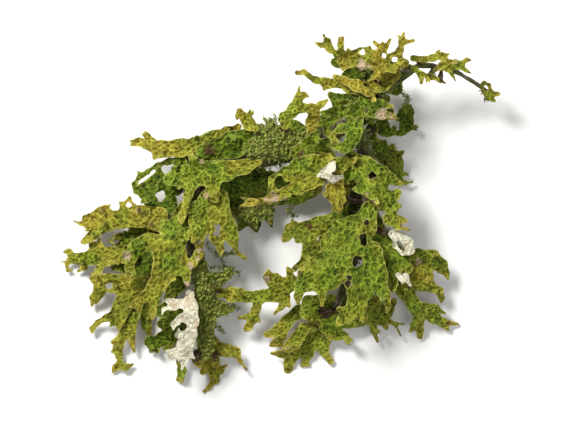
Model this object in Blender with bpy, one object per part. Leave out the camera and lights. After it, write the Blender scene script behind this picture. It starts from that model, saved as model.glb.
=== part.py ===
"""Tree lungwort on a twig, picked and laid on a flat surface.

A forked twig runs through a heap of leafy lichen lobes. Each lobe is a thin sheet that branches
like an antler. The lobes are stacked from the surface upwards: the back ones lie under the twig,
the others over it, and each one drapes over what is already there.

The tables are in millimetres, +X and +Y along the surface and +Z up, and the solids in metres.
A lobe is a list of branches, and a branch is a list of (x, y, half width, height) along it.
"""

import math

import bmesh
import bpy
import numpy as np

MM = 0.001

# ---- driving dimensions, in mm ------------------------------------------------------------
LOBE_THICKNESS = 1.0
MOSS_THICKNESS = 2.2
CLEARANCE = 1.7          # free height kept between one sheet and the next
TWIG_CLEARANCE = 0.8
TWIG_SHOULDER = 0.6      # a sheet over the twig drapes as if the twig were this much thicker
TWIG_SHADOW = 1.5        # and one under it keeps down this far to each side
SINUS_ROUNDING = 2.6     # how softly two branches of a lobe join
NARROWEST = 1.0          # half width that a tip is kept to here
OUTLINE_CELL = 1.25      # grid that each lobe is cut from
OUTLINE_ANGLE = 28.0     # degrees; a corner of the outline flatter than this is left out
RIM_SNAP = 0.12          # a grid point nearer than this to the outline counts as inside
LONGEST_EDGE = 9.5       # inside a lobe
MARGIN_DROOP = 0.32      # how far a margin bends down, as a share of the branch's half width
UNDULATION = 0.9

# ---- the shared height lattice, in mm -----------------------------------------------------
LATTICE = 1.5
LATTICE_X = np.arange(-120.0, 121.0, LATTICE)
LATTICE_Y = np.arange(-102.0, 103.0, LATTICE)
REACH = 1.6 * LATTICE    # a sheet counts as being there this far past its outline
NOTHING_ABOVE = 1e3
SETTLING_PASSES = 80
STIFFNESS = 0.05         # how soon a lifted sheet comes back to its own height

# ---- the object's middle, so that the origin is under it ----------------------------------
MIDDLE_X = -0.70
MIDDLE_Y = 0.25

# ---- the twig, as (x, y, radius, height of its middle) ------------------------------------
TWIGS = {
    "twig_stem": [
        (-49, 27.5, 2.6, 20.5), (-42, 27.5, 3.4, 21), (-28, 28, 4.2, 21),
        (-8, 28, 4.8, 21), (10, 32, 4.8, 21), (26, 41, 4.5, 21), (38, 52, 4.1, 21.5),
        (50, 63, 3.4, 23), (60, 69, 2.8, 25), (66, 73, 2.4, 27),
    ],
    "twig_tip": [
        (68.4, 74.4, 1.5, 27.5), (76, 74, 1.3, 26), (88, 71, 1.1, 22), (98, 65, 1.0, 18),
        (104, 61, 0.9, 16),
    ],
    "twig_branch_left": [
        (-36.8, 21.3, 2.9, 20), (-43, 10, 2.9, 19.5), (-46, -6, 2.7, 19), (-43, -22, 2.5, 18),
        (-40, -38, 2.2, 16.5), (-39, -54, 1.9, 14.5), (-37.5, -68, 1.5, 12.5),
    ],
    "twig_branch_right": [
        (38.2, 43.2, 3.0, 20.5), (43, 32, 3.2, 20), (44, 16, 3.0, 19.5), (41, -2, 2.8, 19),
        (37, -20, 2.5, 18.5), (32, -36, 2.1, 17.5), (27, -48, 1.7, 16.5),
    ],
}

# ---- the lobes, from the surface up: those under the twig, then those over it ---------------
UNDER = {
    "lobe_under_crown": [
        [(33, 69, 3, 14), (45, 67.5, 5, 18), (56, 67.5, 5.2, 17), (59.5, 69.5, 3, 14)],
        [(56, 65, 4.2, 14), (58, 62.5, 2.8, 7), (55.5, 61, 1.5, 1)],
        [(27, 76, 2.2, 18), (36, 73.4, 3.6, 18), (47, 72, 3, 18)],
    ],
    "lobe_right_dark": [
        [(49.5, 42.6, 3, 12), (53, 42, 3.2, 12), (60, 43.5, 4.2, 9), (63, 48, 3.6, 4), (64.6, 51.5, 2, 1.4),
         (65, 54.5, 0.8, 0.4)],
        [(62, 44, 3.4, 6), (65.4, 43.5, 1.5, 4)],
        [(60, 49, 2.6, 6), (60, 52.5, 0.9, 5)],
        [(51, 43, 3, 11), (50.4, 48, 3, 9), (54.6, 51.4, 2, 7)],
    ],
    "lobe_right_ragged": [
        [(41, 36, 4.5, 16), (48, 33, 4.8, 14), (54, 29, 4.8, 11), (57, 25, 4.4, 9), (57.5, 20, 3.4, 7)],
        [(51, 34, 2.4, 7), (52, 36.3, 0.9, 5)],
        [(44, 38, 3.6, 14), (46, 43, 3, 12)],
        [(57, 29, 3, 7), (60.8, 31, 1.1, 5)],
        [(58, 20.5, 2.4, 6), (63.5, 19.8, 0.7, 4)],
        [(58, 18, 2.6, 6), (62.3, 15.6, 0.9, 4), (66, 16, 0.5, 3)],
    ],
    "lobe_right_back": [
        [(31, 10, 5, 11), (40, 2, 8, 16), (46, -12, 8, 14), (49, -25, 7, 11), (50, -36, 5, 9)],
        [(38, -6, 6, 15), (25, -12, 5.4, 10), (21.6, -22, 5, 7), (22, -34, 5, 8)],
        [(33, 8, 5, 12), (35, 17, 4.4, 12)],
    ],
    "lobe_middle_back": [
        [(13, 39, 4, 12), (26, 46, 6.5, 15), (36, 54, 6.5, 14), (46, 53, 5, 12), (52.5, 57.5, 2.4, 11)],
        [(30, 56, 5, 14), (24.6, 59.8, 1.6, 9)],
        [(34, 47, 5, 12), (44, 48.4, 3, 11)],
        [(14, 40, 3.4, 12), (7, 43.4, 3.4, 12), (2, 46.4, 2, 12)],
    ],
    "lobe_ridge_under": [
        [(-40, 14, 5, 15), (-28, 8, 6, 12), (-16, 5, 6, 10), (-6, 8, 4, 11), (8, 8.6, 3.8, 10),
         (17, 13, 4, 11)],
        [(-12, 27, 4.4, 15), (-14, 16, 4.4, 13), (-16, 7, 4, 10)],
        [(-30, 14, 5, 14), (-20, 16, 5, 13), (-6, 16.4, 5, 13), (4, 15.4, 3.6, 12)],
        [(-17, 0, 5.5, 7), (-13, -5, 3, 4), (-12.3, -8.4, 1.1, 3)],
        [(-19, -4, 3.4, 6), (-21, -7.6, 1.2, 4)],
        [(-8, 2, 4, 7), (-6, -2, 1.8, 6), (-4.9, -6, 0.9, 5)],
    ],
    "lobe_left_back": [
        [(-47, -4, 3.6, 15), (-56, -7, 5, 14), (-64, -16, 6, 12), (-68, -28, 6, 9), (-68, -40, 5, 7),
         (-67.5, -50, 3.8, 5)],
        [(-66, -13, 5, 9), (-74, -12, 4.4, 9), (-81, -13.4, 3.4, 8), (-85.5, -13.4, 1.2, 7)],
        [(-70, -20, 5, 9), (-78, -26, 3.6, 8), (-84, -27, 1.5, 7)],
        [(-56, -7, 4, 13), (-65, -6.4, 4, 12), (-73, -7.4, 3, 10)],
        [(-56, -12, 5, 13), (-52, -24, 5.6, 12), (-52.6, -35, 5, 10), (-56, -42, 3, 8)],
        [(-68.5, -50, 3, 7), (-67.4, -56, 2.4, 5), (-66.3, -60.2, 1.3, 3)],
    ],
    "lobe_lower_left_dark": [
        [(-49, -55, 3.4, 11), (-59, -62.5, 3.6, 7), (-64, -66.5, 2.6, 4), (-65.7, -69.3, 0.9, 3)],
        [(-61, -64, 3, 5), (-66.3, -63.4, 2.1, 5), (-67.3, -65, 1.3, 4)],
        [(-55, -61, 3.6, 6), (-56.5, -66, 2.6, 4), (-58.3, -68, 1.1, 3)],
        [(-54, -55, 3.4, 8), (-59.5, -55, 2.8, 7)],
        [(-50, -52, 3.6, 11), (-55, -47, 4.4, 10), (-61, -49, 3, 8)],
    ],
    "lobe_lower_left_long": [
        [(-73, -50, 3.2, 11), (-77, -56, 2.9, 10), (-79, -61, 2.6, 8), (-81.5, -66, 2.7, 6),
         (-81.2, -71, 1.9, 4), (-81, -74.5, 1.6, 3), (-83, -77.2, 1.8, 1), (-84.7, -79.6, 0.6, 0.6)],
        [(-80, -62, 2.2, 8), (-84.8, -64.2, 0.9, 8)],
        [(-82, -67, 2.2, 6), (-84.8, -69.2, 1, 5)],
        [(-81, -76, 1.8, 3), (-78, -77, 1.6, 3), (-74.4, -75.5, 0.6, 4)],
        [(-74, -53, 2.8, 11), (-75, -60, 2.2, 8), (-74.8, -65, 1.4, 6), (-73.7, -69, 0.8, 5)],
    ],
    "lobe_stem_foot": [
        [(-49, -64, 3, 12), (-50.4, -74, 2.2, 7), (-49.8, -79, 2, 4), (-51.9, -83.3, 1.1, 0.8)],
        [(-49.6, -78, 2, 5), (-49.7, -84.6, 0.8, 1.6)],
    ],
    "lobe_foot_claw": [
        [(-38, -58, 3, 10), (-36, -66, 5, 9), (-35, -74, 4, 6), (-33.6, -80, 3, 3),
         (-33.2, -83, 2.2, 1), (-36, -87, 1.1, 0.6), (-38.6, -89.2, 0.9, 0.6)],
        [(-34, -67, 4, 9), (-27, -68.5, 3.2, 9), (-22.7, -69.5, 2.4, 8), (-20.4, -74, 0.9, 6),
         (-17.2, -78.2, 0.45, 5)],
        [(-33, -77, 2.2, 5), (-30.4, -78.5, 1.8, 4), (-27.6, -76, 0.9, 4)],
        [(-39, -69, 3, 8), (-42.2, -73.6, 2.3, 5), (-41.5, -76.4, 1.1, 4)],
        [(-37, -75, 2.6, 6), (-39.2, -79.2, 1.7, 3)],
    ],
    "lobe_tail_left": [
        [(9, -49, 3.6, 10), (3, -53.5, 3, 9), (-1, -58, 3, 8), (-5, -60, 1.9, 7), (-7.6, -60.4, 1.5, 6)],
        [(3, -55, 2.8, 9), (0, -60.5, 2.3, 7), (-3.5, -65, 1.6, 5), (-5.2, -66, 0.9, 4)],
        [(1, -60, 2, 7), (-0.6, -65.6, 1.5, 5)],
    ],
    "lobe_tail_green": [
        [(18, -54, 3.6, 9), (14, -62, 4.4, 6), (10, -68, 4, 4), (5, -71.6, 3.4, 3), (3.7, -75, 2.6, 2),
         (3.6, -78, 2.3, 0.6)],
        [(5, -71, 2.2, 3), (-0.5, -70.4, 1.6, 4), (-4.6, -69.8, 0.9, 5)],
        [(17, -62, 4, 5), (14.6, -70.5, 1.8, 3), (12, -75, 1.7, 1), (10, -76.3, 0.7, 0.8)],
        [(12.4, -74, 1.6, 1.4), (13.8, -76, 0.7, 0.8)],
        [(18, -63, 4, 5), (21.4, -69, 2.3, 4), (25, -74, 1.7, 1)],
        [(19, -59, 3.4, 6), (23, -63.6, 2.2, 5), (23.3, -67.4, 0.8, 4)],
    ],
    "lobe_tail_brown": [
        [(11.6, -57.6, 3.2, 9), (8, -62, 3.4, 10), (4.5, -64.6, 2.1, 9),
         (1.4, -66.4, 0.9, 9)],
        [(9, -61, 3, 11), (7.4, -66, 1.9, 10), (4.5, -68.4, 0.8, 9), (-1, -68.3, 0.5, 9)],
    ],
    "lobe_hem": [
        [(13, -49, 4, 10), (24, -53, 5, 11), (34, -53.5, 4, 11), (46, -51, 4.6, 10), (53, -49, 3, 9),
         (56.5, -44, 1.8, 9)],
        [(14, -44.4, 3.8, 11), (25, -46, 5.4, 12), (36, -46.6, 5, 12), (47, -45, 4.6, 11)],
        [(25, -56, 4.4, 9), (28.6, -60.6, 3, 6), (32, -60.8, 2, 4)],
        [(22, -57, 3, 8), (24.8, -62.6, 1.3, 6)],
        [(46, -52, 3.6, 8), (46.4, -58, 1.7, 5), (48.4, -64, 0.8, 3)],
        [(50, -53, 2.6, 8), (53, -57, 1.3, 6)],
        [(53, -53, 1.8, 8), (57.4, -55.6, 0.8, 6), (60.1, -61.2, 0.4, 5)],
        [(56, -54.9, 0.8, 7), (61.6, -55.2, 0.6, 7)],
    ],
    "lobe_antler": [
        [(-76, -20, 4.6, 12), (-86, -21, 4.4, 10), (-94, -21.5, 4, 8), (-100, -22.5, 3.2, 6),
         (-104.5, -21.5, 2.2, 5), (-106.4, -19, 1.5, 5), (-108.6, -19, 0.8, 5)],
        [(-102, -23, 2.5, 6), (-107, -24, 0.9, 5), (-110, -24, 0.5, 5)],
        [(-105.6, -22, 1.4, 5), (-107.6, -26, 0.7, 3), (-107, -28.3, 0.8, 1.6), (-104.6, -28.3, 0.5, 1.6)],
        [(-99, -24, 2.4, 6), (-98.6, -26.8, 1.3, 2.4), (-102, -28.8, 0.8, 0.4)],
        [(-92, -19, 3, 8), (-94, -16, 2.2, 7), (-95.4, -15.4, 0.9, 6)],
        [(-91, -17, 2.4, 8), (-91.4, -12.4, 0.8, 8)],
        [(-88, -23, 3, 9), (-91.4, -28, 1.5, 8), (-94.4, -30, 0.8, 7)],
    ],
}
OVER = {
    "lobe_left_dark": [
        [(-54, 14, 5.6, 21), (-62, 14, 6, 18), (-68, 11.6, 4.6, 15), (-71.6, 11.6, 2, 13)],
        [(-61, 17, 4.6, 19), (-61, 22, 1.6, 18)],
        [(-57, 5, 5.4, 19), (-64, 5, 4, 17), (-67, 5.6, 1.8, 14)],
        [(-50, 27, 1.9, 24), (-56, 26.3, 1.5, 22), (-62, 24.4, 1, 20), (-67, 21, 1.2, 17),
         (-71, 18.6, 1.1, 15), (-73.6, 15, 1, 13), (-73.2, 11, 1.1, 13)],
        [(-69, 19.6, 0.9, 16), (-71.7, 21.2, 0.5, 15)],
        [(-49, 26, 2.4, 24), (-50, 18, 3, 22)],
    ],
    "lobe_left_golden": [
        [(-61, -1, 4.6, 21), (-70, -1, 5.4, 19), (-80, -0.6, 6.6, 17), (-88, -2.4, 6.6, 14),
         (-94, -3.8, 5, 11), (-98, -2.8, 2.3, 9)],
        [(-77, 3, 4.6, 17), (-75.8, 7.8, 1.1, 16)],
        [(-96, -5, 2.2, 10), (-100, -4.9, 0.9, 9), (-103.8, -3.6, 0.5, 9)],
        [(-91, -7, 4, 12), (-95.6, -11.6, 2.3, 8), (-98.4, -13.7, 1.5, 6), (-99.7, -14.1, 0.8, 5)],
    ],
    "lobe_left_hand": [
        [(-69, -35, 4.6, 15), (-78, -36, 5.6, 14), (-86, -34.4, 4.6, 12), (-92, -33, 3, 9),
         (-95.4, -32, 1.1, 8)],
        [(-86, -35, 4, 12), (-91, -38, 3, 9), (-94, -42, 2, 4), (-94.9, -45.8, 1, 1)],
        [(-91, -40, 2.6, 8), (-92.6, -44, 1.2, 6)],
        [(-76, -40, 5, 15), (-80, -47, 4.8, 13), (-81.4, -52, 3.8, 11), (-81.6, -57, 1.4, 8)],
        [(-81, -49, 4, 12), (-87, -52, 1.8, 9), (-92, -54.4, 1.4, 6), (-94.7, -57.5, 1.3, 4),
         (-95, -59.4, 0.8, 3)],
        [(-82.6, -53, 2.6, 10), (-85.6, -56.2, 0.7, 8)],
    ],
    "lobe_middle_pointer": [
        [(13, -32.6, 2.6, 21), (8, -34, 2.8, 21), (3, -36.6, 3.6, 20), (-2, -39.6, 4.6, 19),
         (-9, -41, 3.2, 17), (-17, -41.6, 2.9, 16), (-25, -40.8, 3.1, 15), (-29.5, -39, 1.6, 15),
         (-33.2, -37.2, 0.6, 16)],
        [(-20, -39.6, 2.6, 16), (-25.6, -37, 0.9, 17)],
        [(-11, -42, 3, 17), (-12.6, -48, 2.4, 14), (-14, -52.4, 2.6, 10), (-16.6, -57, 1.9, 6),
         (-17.8, -58, 1.2, 5)],
        [(-14.6, -51, 1.8, 11), (-21.2, -52, 0.8, 9)],
        [(-13, -51.6, 2, 11), (-10.7, -53.8, 0.7, 9)],
        [(0, -37.4, 4.2, 20), (-4, -33.4, 3.2, 22), (-6.4, -30.6, 2, 24), (-6.4, -28.8, 1.2, 25)],
        [(-3.6, -34, 2.8, 22), (-7.6, -31.8, 1.2, 23)],
        [(1, -35, 3.6, 21), (-2, -31.2, 1.8, 22)],
        [(5, -34, 3, 21), (4.4, -29, 1.6, 23), (3.4, -27, 0.9, 24)],
        [(1.6, -42.6, 2.6, 19), (0.6, -46, 1.7, 16), (-3.4, -50, 0.6, 13)],
        [(2.6, -42, 2.4, 19), (4, -46.2, 0.9, 16)],
    ],
    "lobe_right_hand": [
        [(60, -30, 4, 18), (68, -22.6, 5, 18), (75, -22.4, 4.6, 16), (80, -26, 3.5, 12),
         (83, -29.5, 1.6, 8), (83.7, -32.4, 0.7, 6)],
        [(63, -31, 5, 18), (70, -35, 3.6, 16), (75, -36.4, 2.8, 13), (79, -38.4, 2.1, 9),
         (80.6, -42, 1.5, 6), (80.3, -44.2, 0.8, 4)],
        [(61, -37, 4.4, 17), (66.4, -45, 3.6, 14), (71, -49, 3.6, 11), (76.4, -51.6, 3.1, 8),
         (82, -54.6, 2.1, 3), (89, -55.3, 0.5, 1.4)],
        [(81, -55, 2, 5), (84.1, -58.2, 0.6, 3)],
        [(70, -46.6, 2.6, 13), (77, -47.2, 2, 9), (82.6, -50, 0.5, 6)],
        [(67.4, -47, 3.4, 13), (69, -53, 2.6, 9), (69.6, -58, 1.9, 3), (69.5, -61.3, 1.6, 0.4)],
        [(68, -55, 2.6, 8), (64.8, -59, 0.8, 5)],
        [(72, -28, 3.6, 17), (75.4, -31.6, 1.4, 14)],
    ],
    "lobe_right_inner": [
        [(46, -8, 4, 24), (51, -16, 6, 23), (54, -26, 6.4, 22), (55.4, -32, 3.4, 22)],
        [(53, -17, 5, 23), (60, -22, 4.4, 22), (63, -27, 3, 21)],
        [(55.4, -32, 3, 22), (57.2, -35.4, 1.2, 24), (56.2, -37.8, 1, 25), (54.2, -38, 0.9, 26)],
    ],
    "lobe_pale_right": [
        [(55.6, -10, 2, 27), (60, -11.4, 2.3, 28), (63.4, -14.6, 2.5, 27), (64.6, -18, 2.3, 25),
         (62.6, -19.6, 1.2, 24)],
        [(56.2, -11, 1.4, 27), (57, -16, 0.9, 26), (60.6, -19.6, 0.9, 25), (63, -19, 1, 24)],
    ],
    "lobe_pale_strip": [
        [(58.6, -30.6, 1.2, 25), (62, -31.6, 1.9, 25), (64.6, -35.6, 0.8, 24)],
        [(59, -30.6, 1.2, 25), (60.6, -34.6, 0.6, 24)],
    ],
    "lobe_corner_olive": [
        [(30, -2, 4, 26), (20, -6, 5, 25), (11, -9, 5, 22), (5.4, -8, 3.6, 20), (2.6, -11.6, 2.1, 17),
         (1.4, -13.2, 1.1, 16)],
        [(7, -6, 2.4, 21), (5.6, -3.2, 0.9, 21)],
        [(9, -11, 3, 22), (8, -13.4, 1.2, 20)],
        [(29, -2, 4, 26), (29.6, 6, 3.8, 26), (31, 13, 3.6, 26)],
        [(14, -12, 4, 23), (15.6, -18, 4.6, 24), (14, -22, 4, 24), (9.4, -25.4, 1.6, 23),
         (6.6, -26.2, 0.8, 22)],
    ],
    "lobe_upper_left": [
        [(-41, 33.6, 4.2, 29), (-50, 33, 4.4, 27), (-60, 32.4, 4.3, 24), (-66, 35, 3.2, 21),
         (-71, 36.4, 2, 19), (-74.8, 36.4, 0.9, 18)],
        [(-65.6, 36.6, 2.6, 22), (-66.4, 40, 0.9, 20)],
        [(-70, 35.4, 1.8, 19), (-75.2, 34.3, 0.5, 17)],
        [(-62, 30, 2.6, 23), (-63.2, 28, 1, 21)],
        [(-42, 34.6, 4, 29), (-34, 37.6, 3.8, 30), (-26.4, 40.8, 2.8, 30), (-21.2, 43.6, 1.6, 30)],
    ],
    "lobe_ridge_back": [
        [(-38, 30.6, 4.6, 29), (-24, 34.4, 6.8, 29), (-14, 37.6, 6, 29), (-11.4, 42, 2.6, 28)],
    ],
    "moss_ridge": [
        [(-12, 32, 6, 30), (-2, 35.6, 8.6, 31), (8, 33.6, 7, 30), (13, 37.6, 4, 28)],
        [(-5, 41, 4, 30), (-5, 46.4, 1.6, 30)],
        [(-11, 40, 2.8, 29), (-9.6, 44, 1.2, 29)],
    ],
    "moss_stem": [
        [(-41.4, -22, 3, 23), (-39.4, -32, 4.4, 22), (-37.4, -42, 5.4, 21), (-37, -53, 4.4, 19),
         (-38, -62, 4.2, 18), (-38, -69, 3.4, 17)],
        [(-38, -34.6, 3.4, 21), (-32.6, -33.4, 3.8, 17), (-27.6, -31, 2.4, 14), (-25.2, -27.4, 1.2, 12)],
        [(-36, -46, 4.4, 20), (-30, -47.4, 3.6, 16), (-25, -48, 1.6, 13)],
        [(-36, -49, 2, 19), (-32.6, -51, 1.2, 16)],
    ],
    "moss_underhang": [
        [(-23, 1, 2.6, 15), (-15, 0.6, 4.6, 15), (-8, 2.6, 3.6, 14)],
        [(-14, -3, 3.4, 12), (-13, -6, 1.6, 10)],
        [(-6.6, 0, 2, 13), (-5, -4.4, 1.1, 11)],
    ],
    "lobe_ridge_top": [
        [(-12.8, 42.6, 1.8, 33), (-16, 45, 3.2, 33), (-18.8, 48.6, 2.2, 35), (-20.7, 51.2, 1.5, 37)],
        [(-17, 47.6, 2.2, 34), (-15.3, 50, 0.9, 35)],
        [(-20.6, 51, 1.4, 37), (-21.9, 49, 0.6, 35), (-22, 47, 0.35, 33)],
    ],
    "lobe_arch": [
        [(2, 45, 2.8, 31), (2, 48, 2.9, 33), (5.4, 51, 2.9, 36), (10, 53, 2.5, 38), (14.6, 52.6, 2.4, 39),
         (16.8, 50, 2.6, 37), (15.6, 46, 3.2, 33), (15, 42, 2.4, 31)],
        [(6, 53, 2.4, 36), (8.4, 58, 1.7, 38), (9.2, 63.6, 0.4, 41)],
        [(9, 57, 2, 38), (11.4, 59.4, 1.4, 38), (13.7, 58.5, 0.5, 37)],
        [(16.6, 52, 2, 38), (20, 54.6, 1.6, 38), (23, 56.6, 0.8, 38)],
        [(0.6, 47, 1.6, 33), (-1, 46.6, 0.6, 33)],
    ],
    "lobe_ridge_middle": [
        [(8, 30.6, 3.6, 31), (14, 34, 4, 32), (20, 33, 4, 32), (24.6, 29, 2.6, 31)],
        [(14, 35.4, 3.4, 32), (17.6, 40, 2, 31)],
        [(22, 35, 3, 32), (27, 38, 1.6, 31)],
    ],
    "lobe_pale_left": [
        [(-45.6, -40, 2.2, 27), (-44.8, -46, 3.4, 29), (-45.2, -53, 4, 29), (-46, -60, 4, 27),
         (-48, -67, 4.2, 24), (-49, -70.6, 4, 22)],
        [(-49, -69.6, 3.4, 22), (-54.4, -70.2, 2.2, 19), (-55.8, -73.2, 0.9, 17)],
        [(-53.6, -69.6, 1.8, 20), (-57.6, -68.5, 0.5, 20)],
        [(-48.4, -72, 1.8, 21), (-49.6, -77.6, 0.5, 17)],
        [(-45.6, -69.6, 2, 22), (-43.5, -72.2, 0.7, 20)],
        [(-46.6, -45, 3, 29), (-54, -44.6, 2.2, 27), (-57.4, -43, 1, 25)],
        [(-53, -46.2, 2, 28), (-58.6, -47.4, 0.7, 26), (-59.4, -50.2, 0.5, 25)],
        [(-49.6, -52, 2.8, 29), (-53.4, -55, 1.4, 27), (-53.7, -57.6, 0.7, 26)],
        [(-49, -58, 2.6, 27), (-51.6, -60.6, 1.5, 26)],
    ],
    "lobe_left_great": [
        [(-48.6, 3, 3.6, 28), (-51, -5, 4.8, 30), (-53, -12, 6.4, 32), (-56, -20, 7.6, 33),
         (-58, -28, 6.4, 33), (-62, -36, 4.4, 31), (-63.4, -44, 2.4, 28), (-63.8, -49, 1.8, 26),
         (-64, -52, 0.9, 24)],
        [(-57, -15.6, 5.6, 32), (-66, -14, 4.4, 30), (-72, -16.6, 4, 28), (-75, -21, 3.2, 26),
         (-75.6, -27, 2.2, 24), (-76.4, -33, 0.9, 22)],
        [(-74, -19, 3, 27), (-78.6, -21.8, 1.2, 24)],
        [(-63.6, -37, 3.4, 30), (-68, -41.4, 2.4, 27), (-72, -45, 2.2, 25), (-77, -46.2, 0.7, 23)],
        [(-70.6, -44, 2.2, 26), (-71, -48.6, 1.1, 24)],
        [(-53, -18, 6, 32), (-50, -26, 4.6, 31), (-46.6, -28.6, 2.2, 29), (-45, -27.6, 0.8, 28)],
        [(-48.4, -27, 2.8, 30), (-47, -33, 1.6, 27), (-46, -36.8, 0.6, 25)],
        [(-54, -7, 4, 30), (-60, -6, 2.8, 28), (-65.6, -6.6, 1.2, 26)],
        [(-49, -8, 4, 30), (-43.6, -10.4, 3, 30), (-40.6, -15, 2.2, 29), (-41, -20, 2, 29),
         (-44.6, -25, 2.4, 29)],
    ],
    "lobe_left_hanging": [
        [(-31, 8, 5, 29), (-30.6, 0, 5.4, 32), (-27.4, -7, 5.4, 31), (-24.4, -12, 3.4, 28),
         (-23, -16.4, 1.3, 25), (-21.4, -19.8, 0.9, 22), (-18, -22, 1.1, 20)],
        [(-33, -4, 4.4, 32), (-32, -12, 3.6, 29), (-30.4, -17, 1.9, 25), (-30, -20.6, 0.9, 22)],
        [(-36, -3, 4, 32), (-41, -7.6, 3.6, 31), (-45, -9.4, 2, 29)],
        [(-41, -9, 2.8, 30), (-44, -13.6, 1.1, 27)],
        [(-39, -9, 2.8, 31), (-39.4, -13.4, 0.8, 28)],
        [(-36, 8, 4.4, 30), (-42, 1, 4.2, 30), (-44, -4, 2.6, 30)],
    ],
    "lobe_ridge_broad": [
        [(-55, 17.6, 3.6, 26), (-50, 18.6, 5.4, 28), (-40, 20.4, 6.2, 32), (-28, 21.6, 5.2, 33),
         (-18, 23.6, 3.6, 33), (-10.6, 25.8, 1.4, 32)],
        [(-34, 15, 4, 32), (-34, 10, 3.5, 31), (-32.8, 7, 1.8, 28)],
        [(-44.6, 15, 3.4, 31), (-46.4, 9, 2, 31), (-47.6, 4, 1.8, 31), (-49.4, -1, 1.9, 31),
         (-49.6, -4, 1.2, 30)],
        [(-43, 25, 3.4, 30), (-44.6, 28.6, 1.6, 29)],
    ],
    "lobe_right_great": [
        [(44, 2, 4.4, 28), (42, -6, 6, 29), (36, -14, 7.6, 31), (30, -22, 8.6, 33), (24, -30, 7.6, 33),
         (16, -33, 5.6, 31), (10, -36, 3.2, 29), (8.6, -41, 2, 27), (8.6, -44.4, 1.1, 25)],
        [(20, -35, 5, 32), (20.6, -41, 1.8, 29), (20.4, -45.4, 0.9, 27)],
        [(36, -26, 8, 33), (40, -36, 7.4, 32), (38, -44, 5, 30), (34, -50, 3.4, 27),
         (30.4, -53, 2.4, 25), (28.2, -55.6, 1, 24)],
        [(32.4, -49, 2.6, 27), (29, -47.4, 1.4, 27)],
        [(38.4, -46, 4, 29), (40.4, -51, 2.6, 26), (42, -53.6, 1, 24)],
        [(34.6, -50, 2.6, 27), (34.4, -54.4, 0.8, 25)],
        [(44, -20, 7, 31), (48, -32, 5.4, 30), (51.6, -40, 3, 28), (53.6, -46, 1.3, 26),
         (52.8, -49.2, 0.7, 24)],
        [(14, -31, 4, 31), (10, -28.6, 1.4, 29)],
        [(24, -22, 5, 32), (18, -26, 5, 31), (12, -31, 4, 30)],
        [(40, -4, 5, 29), (31, -8, 5.6, 30), (25, -15, 5.6, 31)],
    ],
    "lobe_right_ridge": [
        [(31, 22, 4.6, 31), (40, 16.6, 6, 33), (49, 12, 6.4, 33), (53.6, 4, 4.8, 32), (54, -2.6, 3, 30),
         (58, -6.2, 1.6, 27), (64.6, -8.1, 0.5, 25)],
        [(35, 28, 3.6, 31), (43, 24, 4.4, 32), (50, 20, 4, 31), (55.6, 16.6, 3, 29), (60, 15, 1.2, 26)],
        [(54, 9, 4, 31), (58, 10.4, 1.8, 28), (58.6, 8, 1, 27)],
        [(55.4, 4.6, 3, 30), (59.8, 3.8, 0.9, 26)],
        [(55, -1.6, 2.6, 30), (60, -3, 1.7, 28), (63, -3.7, 0.9, 26)],
    ],
    "lobe_ridge_arm": [
        [(-4.6, 11, 2.6, 32), (-3.8, 17, 2.2, 33), (3, 19.8, 3.8, 34), (10, 20, 5.6, 35),
         (20, 21.6, 5, 35), (30, 25, 3.6, 34), (36, 26.6, 1.8, 33)],
        [(1.6, 11.6, 2, 32), (8, 13, 3.4, 33), (16, 15.6, 2.8, 33), (21, 15.6, 1.2, 33)],
        [(-4, 10, 2.2, 32), (3, 10, 1.8, 32)],
        [(8, 24.4, 3.6, 34), (16, 27, 2.8, 33), (24, 28.6, 2, 33)],
    ],
    "lobe_star": [
        [(-1, 8, 1.6, 34), (-6, 7.4, 2, 36), (-10.4, 6.3, 1.3, 36), (-15, 6.2, 1.7, 37),
         (-19.8, 8.3, 0.5, 38)],
        [(-14, 5.6, 1.8, 37), (-20.4, 3.9, 0.5, 36)],
    ],
    "lobe_hanging_yellow": [
        [(28.4, 19, 3, 34), (27, 13.4, 4, 35), (27, 8, 3.2, 34), (28.6, 3, 2.2, 32), (29.4, 0.8, 0.9, 31)],
        [(25, 12, 3, 34), (23.6, 8.6, 1.1, 33)],
        [(29.6, 11, 2.4, 34), (31.6, 6.4, 1, 32)],
    ],
    "lobe_tan_fold": [
        [(18.4, 19, 1, 36), (22, 20.6, 2.2, 38), (25, 23, 2.2, 38), (26.4, 25.6, 1, 37)],
        [(22.4, 20, 1.8, 38), (26, 17.2, 1.8, 37), (30.4, 18.6, 0.9, 36)],
    ],
    "lobe_finger_left": [
        [(34, 62.6, 2.2, 28), (28, 65.4, 2.2, 29), (22, 65.8, 2.3, 31), (17, 66.8, 1.6, 33),
         (13.6, 69, 1.2, 35), (11.3, 70.8, 1.2, 36), (9.6, 70.2, 0.8, 36), (8, 70.4, 1.2, 36)],
        [(25, 64.6, 2.2, 30), (21.8, 62.4, 1.1, 28)],
        [(34, 62.8, 2.4, 28), (43, 62, 3.6, 29), (51, 65.6, 4.2, 31), (57, 69.4, 3, 32)],
    ],
    "lobe_centre": [
        [(41, 57.6, 2.4, 36), (40, 53, 3.8, 37), (37, 47, 4, 38), (37, 42, 3.8, 38), (36, 38, 3.4, 37),
         (33.4, 34, 3, 36), (31, 31.6, 1.8, 35)],
        [(38, 51, 3.4, 37), (31, 51.6, 2.5, 36), (25, 50.8, 1.8, 34), (20.4, 50.4, 1, 33)],
        [(30, 50.6, 2.4, 36), (25.6, 46.6, 1.9, 35), (20, 45, 1.5, 34), (17.2, 44.2, 0.6, 33)],
        [(22.4, 45.4, 1.8, 34), (22.8, 41, 1.7, 33), (26, 37.6, 1.5, 33), (28.6, 36.6, 0.9, 33)],
        [(35, 42.6, 3, 37), (30, 42.6, 2.2, 36), (27, 40.4, 1.4, 34)],
        [(31.6, 33, 2.4, 36), (27, 33.8, 1.8, 35), (24.4, 34.4, 0.8, 34)],
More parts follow.
